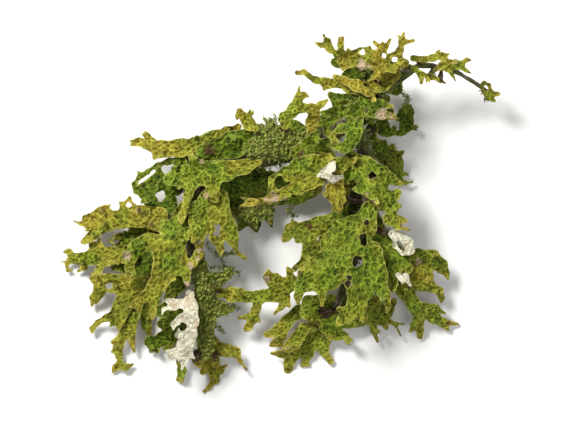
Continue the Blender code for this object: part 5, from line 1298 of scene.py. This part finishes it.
# ---- The broad fronds ----------------------------------------------------------------------
# The biggest and brightest fronds cover the left and right of the heap. Their net of ridges is
# widest in the middle and closes up towards the forked tips.
FRONDS_BROAD = {
    "lobe_ridge_top": [
        [(-12.8, 42.6, 1.8, 33), (-16, 45, 3.2, 33), (-18.8, 48.6, 2.2, 35), (-20.7, 51.2, 1.5, 37)],
        [(-17, 47.6, 2.2, 34), (-15.3, 50, 0.9, 35)],
        [(-20.6, 51, 1.4, 37), (-21.9, 49, 0.6, 35), (-22, 47, 0.35, 33)],
    ],
    "lobe_arch": [
        [(2, 45, 2.8, 31), (2, 48, 2.9, 33), (5.4, 51, 2.9, 36), (10, 53, 2.5, 38), (14.6, 52.6, 2.4, 39),
         (16.8, 50, 2.6, 37), (15.6, 46, 3.2, 33), (15, 42, 2.4, 31)],
        [(6, 53, 2.4, 36), (8.4, 58, 1.7, 38), (9.2, 63.6, 0.4, 41)],
        [(9, 57, 2, 38), (11.4, 59.4, 1.4, 38), (13.7, 58.5, 0.5, 37)],
        [(16.6, 52, 2, 38), (20, 54.6, 1.6, 38), (23, 56.6, 0.8, 38)],
        [(0.6, 47, 1.6, 33), (-1, 46.6, 0.6, 33)],
    ],
    "lobe_ridge_middle": [
        [(8, 30.6, 3.6, 31), (14, 34, 4, 32), (20, 33, 4, 32), (24.6, 29, 2.6, 31)],
        [(14, 35.4, 3.4, 32), (17.6, 40, 2, 31)],
        [(22, 35, 3, 32), (27, 38, 1.6, 31)],
    ],
    "lobe_pale_left": [
        [(-45.6, -40, 2.2, 27), (-44.8, -46, 3.4, 29), (-45.2, -53, 4, 29), (-46, -60, 4, 27),
         (-48, -67, 4.2, 24), (-49, -70.6, 4, 22)],
        [(-49, -69.6, 3.4, 22), (-54.4, -70.2, 2.2, 19), (-55.8, -73.2, 0.9, 17)],
        [(-53.6, -69.6, 1.8, 20), (-57.6, -68.5, 0.5, 20)],
        [(-48.4, -72, 1.8, 21), (-49.6, -77.6, 0.5, 17)],
        [(-45.6, -69.6, 2, 22), (-43.5, -72.2, 0.7, 20)],
        [(-46.6, -45, 3, 29), (-54, -44.6, 2.2, 27), (-57.4, -43, 1, 25)],
        [(-53, -46.2, 2, 28), (-58.6, -47.4, 0.7, 26), (-59.4, -50.2, 0.5, 25)],
        [(-49.6, -52, 2.8, 29), (-53.4, -55, 1.4, 27), (-53.7, -57.6, 0.7, 26)],
        [(-49, -58, 2.6, 27), (-51.6, -60.6, 1.5, 26)],
    ],
    "lobe_left_great": [
        [(-48.6, 3, 3.6, 28), (-51, -5, 4.8, 30), (-53, -12, 6.4, 32), (-56, -20, 7.6, 33),
         (-58, -28, 6.4, 33), (-62, -36, 4.4, 31), (-63.4, -44, 2.4, 28), (-63.8, -49, 1.8, 26),
         (-64, -52, 0.9, 24)],
        [(-57, -15.6, 5.6, 32), (-66, -14, 4.4, 30), (-72, -16.6, 4, 28), (-75, -21, 3.2, 26),
         (-75.6, -27, 2.2, 24), (-76.4, -33, 0.9, 22)],
        [(-74, -19, 3, 27), (-78.6, -21.8, 1.2, 24)],
        [(-63.6, -37, 3.4, 30), (-68, -41.4, 2.4, 27), (-72, -45, 2.2, 25), (-77, -46.2, 0.7, 23)],
        [(-70.6, -44, 2.2, 26), (-71, -48.6, 1.1, 24)],
        [(-53, -18, 6, 32), (-50, -26, 4.6, 31), (-46.6, -28.6, 2.2, 29), (-45, -27.6, 0.8, 28)],
        [(-48.4, -27, 2.8, 30), (-47, -33, 1.6, 27), (-46, -36.8, 0.6, 25)],
        [(-54, -7, 4, 30), (-60, -6, 2.8, 28), (-65.6, -6.6, 1.2, 26)],
        [(-49, -8, 4, 30), (-43.6, -10.4, 3, 30), (-40.6, -15, 2.2, 29), (-41, -20, 2, 29),
         (-44.6, -25, 2.4, 29)],
    ],
    "lobe_left_hanging": [
        [(-31, 8, 5, 29), (-30.6, 0, 5.4, 32), (-27.4, -7, 5.4, 31), (-24.4, -12, 3.4, 28),
         (-23, -16.4, 1.3, 25), (-21.4, -19.8, 0.9, 22), (-18, -22, 1.1, 20)],
        [(-33, -4, 4.4, 32), (-32, -12, 3.6, 29), (-30.4, -17, 1.9, 25), (-30, -20.6, 0.9, 22)],
        [(-36, -3, 4, 32), (-41, -7.6, 3.6, 31), (-45, -9.4, 2, 29)],
        [(-41, -9, 2.8, 30), (-44, -13.6, 1.1, 27)],
        [(-39, -9, 2.8, 31), (-39.4, -13.4, 0.8, 28)],
        [(-36, 8, 4.4, 30), (-42, 1, 4.2, 30), (-44, -4, 2.6, 30)],
    ],
    "lobe_ridge_broad": [
        [(-55, 17.6, 3.6, 26), (-50, 18.6, 5.4, 28), (-40, 20.4, 6.2, 32), (-28, 21.6, 5.2, 33),
         (-18, 23.6, 3.6, 33), (-10.6, 25.8, 1.4, 32)],
        [(-34, 15, 4, 32), (-34, 10, 3.5, 31), (-32.8, 7, 1.8, 28)],
        [(-44.6, 15, 3.4, 31), (-46.4, 9, 2, 31), (-47.6, 4, 1.8, 31), (-49.4, -1, 1.9, 31),
         (-49.6, -4, 1.2, 30)],
        [(-43, 25, 3.4, 30), (-44.6, 28.6, 1.6, 29)],
    ],
    "lobe_right_great": [
        [(44, 2, 4.4, 28), (42, -6, 6, 29), (36, -14, 7.6, 31), (30, -22, 8.6, 33), (24, -30, 7.6, 33),
         (16, -33, 5.6, 31), (10, -36, 3.2, 29), (8.6, -41, 2, 27), (8.6, -44.4, 1.1, 25)],
        [(20, -35, 5, 32), (20.6, -41, 1.8, 29), (20.4, -45.4, 0.9, 27)],
        [(36, -26, 8, 33), (40, -36, 7.4, 32), (38, -44, 5, 30), (34, -50, 3.4, 27),
         (30.4, -53, 2.4, 25), (28.2, -55.6, 1, 24)],
        [(32.4, -49, 2.6, 27), (29, -47.4, 1.4, 27)],
        [(38.4, -46, 4, 29), (40.4, -51, 2.6, 26), (42, -53.6, 1, 24)],
        [(34.6, -50, 2.6, 27), (34.4, -54.4, 0.8, 25)],
        [(44, -20, 7, 31), (48, -32, 5.4, 30), (51.6, -40, 3, 28), (53.6, -46, 1.3, 26),
         (52.8, -49.2, 0.7, 24)],
        [(14, -31, 4, 31), (10, -28.6, 1.4, 29)],
        [(24, -22, 5, 32), (18, -26, 5, 31), (12, -31, 4, 30)],
        [(40, -4, 5, 29), (31, -8, 5.6, 30), (25, -15, 5.6, 31)],
    ],
    "lobe_right_ridge": [
        [(31, 22, 4.6, 31), (40, 16.6, 6, 33), (49, 12, 6.4, 33), (53.6, 4, 4.8, 32), (54, -2.6, 3, 30),
         (58, -6.2, 1.6, 27), (64.6, -8.1, 0.5, 25)],
        [(35, 28, 3.6, 31), (43, 24, 4.4, 32), (50, 20, 4, 31), (55.6, 16.6, 3, 29), (60, 15, 1.2, 26)],
        [(54, 9, 4, 31), (58, 10.4, 1.8, 28), (58.6, 8, 1, 27)],
        [(55.4, 4.6, 3, 30), (59.8, 3.8, 0.9, 26)],
        [(55, -1.6, 2.6, 30), (60, -3, 1.7, 28), (63, -3.7, 0.9, 26)],
    ],
}
HOLES_BROAD = {
    "lobe_pale_left": [(-49.2, -56.4, 1.4)],
    "lobe_left_great": [(-45.4, -16, 2.1)],
    "lobe_left_hanging": [(-31.8, -6.6, 1), (-32, -9.6, 1)],
    "lobe_right_great": [
        (38, -24, 2), (41, -11.6, 1.5), (41.4, -14, 1.2),
        (42.6, -4, 1.2), (34.4, -31.6, 1.1), (33.4, -35, 1.5),
    ],
    "lobe_right_ridge": [(55.2, 13.2, 1.2), (51, 0.6, 0.8), (45.4, 19, 1.3), (35.2, 15, 1.9)],
}
TONES_BROAD = {
    "lobe_ridge_top": (0.3, 0.0),
    "lobe_arch": (0.35, 0.0),
    "lobe_ridge_middle": (0.1, 0.5),
    "lobe_left_great": (0.2, 0.1),
    "lobe_left_hanging": (0.25, 0.1),
    "lobe_ridge_broad": (0.1, 0.0),
    "lobe_right_great": (0.05, 0.1),
    "lobe_right_ridge": (0.15, 0.0),
}
grow_fronds(FRONDS_BROAD, HOLES_BROAD, TONES_BROAD, NOTHING_ABOVE, MARGIN_CURL)


# ---- The top fronds ------------------------------------------------------------------------
# Small narrow fronds stand clear of the rest along the ridge and at the crown, with free margins
# that curl more than those below.
FRONDS_TOP = {
    "lobe_ridge_arm": [
        [(-4.6, 11, 2.6, 32), (-3.8, 17, 2.2, 33), (3, 19.8, 3.8, 34), (10, 20, 5.6, 35),
         (20, 21.6, 5, 35), (30, 25, 3.6, 34), (36, 26.6, 1.8, 33)],
        [(1.6, 11.6, 2, 32), (8, 13, 3.4, 33), (16, 15.6, 2.8, 33), (21, 15.6, 1.2, 33)],
        [(-4, 10, 2.2, 32), (3, 10, 1.8, 32)],
        [(8, 24.4, 3.6, 34), (16, 27, 2.8, 33), (24, 28.6, 2, 33)],
    ],
    "lobe_star": [
        [(-1, 8, 1.6, 34), (-6, 7.4, 2, 36), (-10.4, 6.3, 1.3, 36), (-15, 6.2, 1.7, 37),
         (-19.8, 8.3, 0.5, 38)],
        [(-14, 5.6, 1.8, 37), (-20.4, 3.9, 0.5, 36)],
    ],
    "lobe_hanging_yellow": [
        [(28.4, 19, 3, 34), (27, 13.4, 4, 35), (27, 8, 3.2, 34), (28.6, 3, 2.2, 32), (29.4, 0.8, 0.9, 31)],
        [(25, 12, 3, 34), (23.6, 8.6, 1.1, 33)],
        [(29.6, 11, 2.4, 34), (31.6, 6.4, 1, 32)],
    ],
    "lobe_tan_fold": [
        [(18.4, 19, 1, 36), (22, 20.6, 2.2, 38), (25, 23, 2.2, 38), (26.4, 25.6, 1, 37)],
        [(22.4, 20, 1.8, 38), (26, 17.2, 1.8, 37), (30.4, 18.6, 0.9, 36)],
    ],
    "lobe_finger_left": [
        [(34, 62.6, 2.2, 28), (28, 65.4, 2.2, 29), (22, 65.8, 2.3, 31), (17, 66.8, 1.6, 33),
         (13.6, 69, 1.2, 35), (11.3, 70.8, 1.2, 36), (9.6, 70.2, 0.8, 36), (8, 70.4, 1.2, 36)],
        [(25, 64.6, 2.2, 30), (21.8, 62.4, 1.1, 28)],
        [(34, 62.8, 2.4, 28), (43, 62, 3.6, 29), (51, 65.6, 4.2, 31), (57, 69.4, 3, 32)],
    ],
    "lobe_centre": [
        [(41, 57.6, 2.4, 36), (40, 53, 3.8, 37), (37, 47, 4, 38), (37, 42, 3.8, 38), (36, 38, 3.4, 37),
         (33.4, 34, 3, 36), (31, 31.6, 1.8, 35)],
        [(38, 51, 3.4, 37), (31, 51.6, 2.5, 36), (25, 50.8, 1.8, 34), (20.4, 50.4, 1, 33)],
        [(30, 50.6, 2.4, 36), (25.6, 46.6, 1.9, 35), (20, 45, 1.5, 34), (17.2, 44.2, 0.6, 33)],
        [(22.4, 45.4, 1.8, 34), (22.8, 41, 1.7, 33), (26, 37.6, 1.5, 33), (28.6, 36.6, 0.9, 33)],
        [(35, 42.6, 3, 37), (30, 42.6, 2.2, 36), (27, 40.4, 1.4, 34)],
        [(31.6, 33, 2.4, 36), (27, 33.8, 1.8, 35), (24.4, 34.4, 0.8, 34)],
        [(43, 54, 2.8, 36), (50, 54.8, 2.3, 34), (55.4, 53.4, 1, 32)],
        [(43.6, 50.6, 2.8, 36), (50, 49.8, 2.6, 35), (55, 48.6, 1.6, 33), (58.6, 47.6, 0.5, 32)],
    ],
    "lobe_finger_yellow": [
        [(27.2, 68.4, 1.4, 31), (32, 66.4, 2, 32), (38, 63.4, 2.7, 34), (43, 60.8, 2.2, 34),
         (46, 59.4, 1.1, 33)],
        [(36, 65.6, 1.8, 33), (41, 66, 1.2, 33)],
    ],
    "lobe_crown_fingers": [
        [(34, 78, 2.6, 35), (28, 79.6, 2, 36), (24.4, 82.6, 1.6, 37), (20, 84.2, 1.1, 39),
         (17.4, 85.2, 0.6, 40)],
        [(24.2, 82, 1.6, 37), (22.6, 86, 1.1, 39), (21.3, 89, 0.6, 41)],
        [(24.6, 82, 1.4, 37), (24, 86.8, 0.8, 39)],
        [(31, 79, 2, 36), (29.4, 84, 1.3, 37), (29, 87.6, 0.8, 39)],
        [(29.8, 83, 1.2, 37), (31, 87.8, 0.7, 38)],
    ],
    "lobe_right_top_low": [
        [(66, 72.8, 1.6, 30), (70, 69.5, 1.4, 30), (75, 68.6, 1.4, 29), (79, 67, 1.1, 27),
         (82, 65.4, 0.5, 25)],
        [(70, 69, 1.4, 30), (70, 65.6, 1.1, 28)],
    ],
    "lobe_right_top": [
        [(66, 77.6, 1.6, 33), (71, 76.9, 1.6, 34), (76, 77.8, 1.9, 35), (80, 78.8, 1.7, 37),
         (83.4, 79.6, 0.7, 38)],
        [(80.4, 78, 1.6, 36), (84.4, 75.6, 1.2, 36), (87, 74.2, 2, 35)],
        [(76.4, 71.2, 0.8, 30), (80, 73.6, 1.8, 33), (86, 73.8, 2.2, 35), (90, 74.8, 1.7, 36),
         (92.6, 76.9, 0.9, 37), (94.7, 76.5, 0.4, 37)],
        [(89, 73.4, 1.7, 35), (92, 71.6, 0.9, 33), (94.2, 70.3, 0.5, 32)],
        [(83.4, 72, 1.5, 33), (85.4, 69.3, 0.7, 30), (87, 66.5, 0.4, 27)],
    ],
    "lobe_crown": [
        [(32, 76.6, 4.2, 37), (40, 78, 4.6, 40), (48, 76.6, 5, 42), (56, 75.6, 4.2, 40),
         (61.4, 75, 2.6, 37)],
        [(34, 79, 2.4, 38), (33.6, 81.6, 0.9, 38)],
        [(42, 80, 3.4, 41), (44, 83, 1.2, 41)],
        [(49, 78.6, 3, 42), (49.8, 82, 1.7, 43), (46.4, 85.6, 0.8, 45)],
        [(50, 81, 1.7, 43), (50.6, 85.2, 0.8, 45)],
        [(51, 81, 1.7, 43), (54.2, 86.6, 0.8, 45)],
        [(57, 78, 3, 40), (59.4, 82, 1.8, 42), (60.2, 86, 1.4, 44), (58.3, 88.6, 0.7, 45)],
        [(60.2, 86, 1.3, 44), (61, 89.8, 0.8, 45)],
        [(60, 85, 1.3, 43), (65.8, 86.2, 0.9, 43)],
        [(49, 73, 2.6, 40), (46.6, 68.4, 1.2, 37), (43.4, 66.2, 0.5, 35)],
        [(50, 72, 1.8, 39), (48.4, 66, 0.6, 35)],
        [(54, 73, 2.6, 39), (56.6, 70.6, 1, 37)],
        [(32, 75, 2.6, 36), (31, 72.4, 1.1, 34)],
    ],
    "lobe_far_tip": [
        [(100.4, 64.4, 0.8, 20), (101.4, 61, 0.9, 20), (103.6, 58.8, 1.6, 20), (106.6, 56.6, 0.9, 19)],
        [(103.8, 59.4, 1.7, 20), (108.4, 60, 1.3, 21)],
        [(105, 61, 1.4, 20), (104, 64.6, 0.8, 20), (101.6, 65.8, 0.7, 20), (100.4, 64.4, 0.7, 20)],
    ],
}
HOLES_TOP = {
    "lobe_ridge_arm": [(-0.4, 15.8, 2.2)],
    "lobe_centre": [(43, 51.6, 0.9)],
    "lobe_crown": [(40.4, 80.8, 0.9), (51.6, 79, 0.9), (56.6, 76.8, 0.9)],
}
TONES_TOP = {
    "lobe_ridge_arm": (0.2, 0.0),
    "lobe_star": (0.8, 0.0),
    "lobe_hanging_yellow": (0.75, 0.0),
    "lobe_finger_left": (0.35, 0.1),
    "lobe_centre": (0.0, 0.35),
    "lobe_finger_yellow": (0.6, 0.0),
    "lobe_crown_fingers": (0.2, 0.0),
    "lobe_right_top_low": (0.4, 0.0),
    "lobe_right_top": (0.3, 0.0),
    "lobe_crown": (0.5, -0.2),
    "lobe_far_tip": (0.2, 0.0),
}
TOP_CURL = 2.0
grow_fronds(FRONDS_TOP, HOLES_TOP, TONES_TOP, NOTHING_ABOVE, TOP_CURL)


# ---- The young lobes -----------------------------------------------------------------------
# Little new lobes spring from the ridges and margins of the old fronds all over the heap. Each is a
# cupped tongue with a notched end, a few millimetres long, that leans up and out.
YOUNG_LOBES = 260
YOUNG_LENGTH = (2.6, 6.0)
YOUNG_GRID = (4, 3)
YOUNG_SHEET = 0.06           # thickness for each unit of length
YOUNG_DEPTH = 0.25           # how deep the foot sits in the old frond


def young_lobe():
    """One young lobe, a unit long along Y, cupped and notched at its end."""
    bm = bmesh.new()
    bmesh.ops.create_grid(bm, x_segments=YOUNG_GRID[0], y_segments=YOUNG_GRID[1], size=0.5)
    bmesh.ops.translate(bm, verts=bm.verts[:], vec=(0.0, 0.5, 0.0))
    for vert in bm.verts:
        out = vert.co.y
        spread = 0.22 + 0.75 * out - 0.30 * out ** 4
        notch = -0.14 * math.cos(vert.co.x * 4.0 * math.pi) * out ** 3
        vert.co.x *= spread
        vert.co.y += notch - 0.5 * vert.co.x ** 2 * out
        vert.co.z = 0.45 * out ** 2 + 0.9 * vert.co.x ** 2
    thicken(bm, YOUNG_SHEET)
    return as_arrays(bm)


rng = np.random.default_rng(17)
verts, faces = young_lobe()
picked = rng.choice(len(skins), YOUNG_LOBES, replace=False)
chosen = np.array([skins[k] for k in picked])
length = rng.uniform(*YOUNG_LENGTH, len(chosen)) * np.where(chosen[:, 5] > 0.5, 1.0, 0.75)
heading = chosen[:, 3] + rng.uniform(-1.2, 1.2, len(chosen)) - 0.5 * math.pi
tilt = rng.uniform(-0.15, 0.75, len(chosen))
scaled = verts[None, :, :] * length[:, None, None]
up = scaled[:, :, 1] * np.sin(tilt)[:, None] + scaled[:, :, 2] * np.cos(tilt)[:, None]
out = scaled[:, :, 1] * np.cos(tilt)[:, None] - scaled[:, :, 2] * np.sin(tilt)[:, None]
turn = heading[:, None]
points = np.stack([
    chosen[:, 0:1] + scaled[:, :, 0] * np.cos(turn) - out * np.sin(turn),
    chosen[:, 1:2] + scaled[:, :, 0] * np.sin(turn) + out * np.cos(turn),
    chosen[:, 2:3] + up - YOUNG_DEPTH], axis=2).reshape(-1, 3)
points[:, 2] = np.maximum(points[:, 2], 0.2)
mesh = joined_mesh("young_lobes", points, faces, len(chosen))
edge = np.maximum(verts[:, 1] - 0.55, np.abs(verts[:, 0]) * 1.6 - 0.2)
write_attribute(mesh, "net", 0.5 + 0.5 * patchy(points[:, 0], points[:, 1], 1.1, 18))
write_attribute(mesh, "rim", np.tile(edge * 1.2, len(chosen)))
write_attribute(mesh, "gold", np.repeat(chosen[:, 4] + rng.uniform(-0.2, 0.35, len(chosen)), len(verts)))
# each young lobe takes the darkness of its frond, which is partly painted shade
write_attribute(mesh, "dark", np.repeat(chosen[:, 5] + rng.uniform(-0.3, 0.1, len(chosen)), len(verts)))
write_attribute(mesh, "stain", np.zeros(len(points)))
write_attribute(mesh, "dead", np.repeat(rng.random(len(chosen)) ** 25, len(verts)))
write_points(mesh, points)
add_piece("young_lobes", mesh, [frond_upper], "lobe_green")


# ---- The root felt -------------------------------------------------------------------------
# Tufts of short brown fibres hold each frond to the bark, the moss or the frond below it. Each
# tuft is a few thin cones from the frond's underside to what it grips.
FIBRES = 4
HOLDFASTS = 3                # at most, to a frond
HOLDFAST_SPACING = 9.0
LONGEST_HOLDFAST = 14.0
HOLDFAST_STRANDS = 12
FELT_DARK = (0.030, 0.018, 0.010)


def make_felt():
    """Dark brown root fibres."""
    material, tree, shader = new_material("root_felt", 0.9, 0.2)
    tone, grain = mottle(tree, 700.0)
    colour = mixed(tree, tone, FELT_DARK, BARK_BROWN)
    tree.links.new(colour, shader.inputs["Base Color"])
    tree.links.new(stretched(tree, grain, 0.3, 0.7, 0.8, 1.0), shader.inputs["Roughness"])
    return material


def fibre():
    """One fibre, a unit long, a little thinner at its head."""
    bm = bmesh.new()
    bmesh.ops.create_cone(bm, segments=3, radius1=0.17, radius2=0.11, depth=1.0,
                          matrix=Matrix.Translation((0.0, 0.0, 0.5)))
    return as_arrays(bm)


rng = np.random.default_rng(8)
held = np.repeat(np.array([root for root in roots if root[3] > 0.3]), FIBRES, axis=0)
heads = held[:, :3] + rng.normal(0.0, 0.5, (len(held), 3)) * (1.0, 1.0, 0.0) + (0.0, 0.0, 0.2)
feet = held[:, [0, 1, 3]] + rng.normal(0.0, 0.8, (len(held), 3)) * (1.0, 1.0, 0.0)
feet[:, 2] = np.minimum(feet[:, 2], heads[:, 2] - 0.5)
felt = make_felt()
strand = fibre()
mesh = join_copies("root_felt", strand, feet, heads, np.full(len(feet), 0.6), np.zeros(feet.shape))
add_piece("root_felt", mesh, [felt], "twig_bark")

# the stouter holdfasts by which each frond grips the twig itself
axis = np.concatenate([twig_line(points)[1] for points in TWIGS.values()])
feet = []
heads = []
for body in bodies:
    reach = np.linalg.norm(body[:, None, :] - axis[None, :, :3], axis=2) - axis[None, :, 3]
    taken = np.zeros(len(body), bool)
    for _ in range(HOLDFASTS):
        spot = np.where(taken, 1e3, reach.min(axis=1)).argmin()
        station = reach[spot].argmin()
        if 0.6 < reach[spot, station] < LONGEST_HOLDFAST:
            head = body[spot] + rng.normal(0.0, 1.1, (HOLDFAST_STRANDS, 3)) * (1.0, 1.0, 0.0)
            toward = (head - axis[station, :3]) / np.linalg.norm(head - axis[station, :3], axis=1)[:, None]
            heads.append(head + (0.0, 0.0, 0.3))
            feet.append(axis[station, :3] + toward * axis[station, 3] * 0.85)
        taken |= np.hypot(*(body[:, :2] - body[spot, :2]).T) < HOLDFAST_SPACING
feet = np.concatenate(feet)
heads = np.concatenate(heads)
droop = rng.normal(0.0, 0.8, feet.shape) * (1.0, 1.0, 0.0)
mesh = join_copies("holdfasts", strand, feet, heads, rng.uniform(1.6, 3.6, len(feet)), 0.3 * droop)
add_piece("root_holdfasts", mesh, [felt], "twig_bark")


# ---- The surface, the light and the camera -------------------------------------------------
# A plain pale table under a broad soft light from above, seen from straight overhead.
FLOOR_PALE = (0.86, 0.86, 0.85)
FLOOR_PALER = (0.90, 0.90, 0.89)
VIEW_MIDDLE = (0.00495, -0.0010, 0.020)    # what the camera looks at
VIEW_WIDTH = 0.2895
CAMERA_HEIGHT = 4.0
SENSOR = 36.0
TABLE_HALF_WIDTH = 1.6
WORLD_STRENGTH = 0.29


def make_floor():
    """A matt, nearly even pale table."""
    material, tree, shader = new_material("table_top", 0.9, 0.2)
    tone, grain = mottle(tree, 60.0)
    tree.links.new(mixed(tree, tone, FLOOR_PALE, FLOOR_PALER), shader.inputs["Base Color"])
    bump(tree, shader, grain, 0.05, 0.0001)
    return material


bm = bmesh.new()
bmesh.ops.create_grid(bm, x_segments=4, y_segments=4, size=TABLE_HALF_WIDTH)
mesh = to_new_mesh(bm, "table_top")
mesh.materials.append(make_floor())
floor = bpy.data.objects.new("table_top", mesh)
bpy.context.scene.collection.objects.link(floor)


def add_light(name, place, size, power, colour):
    """A round soft lamp that shines on the heap."""
    lamp = bpy.data.lights.new(name, "AREA")
    lamp.shape = "DISK"
    lamp.size = size
    lamp.energy = power
    lamp.color = colour
    item = bpy.data.objects.new(name, lamp)
    item.location = place
    item.rotation_euler = (-Vector(place)).to_track_quat("-Z", "Y").to_euler()
    bpy.context.scene.collection.objects.link(item)


add_light("window", (-0.75, 0.85, 1.15), 0.60, 37.0, (1.0, 0.99, 0.96))
add_light("fill", (0.8, -0.7, 0.9), 1.2, 6.0, (0.98, 0.99, 1.0))

world = bpy.data.worlds.new("studio")
world.use_nodes = True
world.node_tree.nodes["Background"].inputs["Color"].default_value = (1.0, 1.0, 1.0, 1.0)
world.node_tree.nodes["Background"].inputs["Strength"].default_value = WORLD_STRENGTH
bpy.context.scene.world = world
bpy.context.scene.view_settings.view_transform = "Standard"

lens = bpy.data.cameras.new("overhead")
lens.sensor_width = SENSOR
lens.lens = SENSOR * (CAMERA_HEIGHT - VIEW_MIDDLE[2]) / VIEW_WIDTH
lens.clip_start = 0.05
camera = bpy.data.objects.new("overhead", lens)
camera.location = (VIEW_MIDDLE[0], VIEW_MIDDLE[1], CAMERA_HEIGHT)
bpy.context.scene.collection.objects.link(camera)
bpy.context.scene.camera = camera
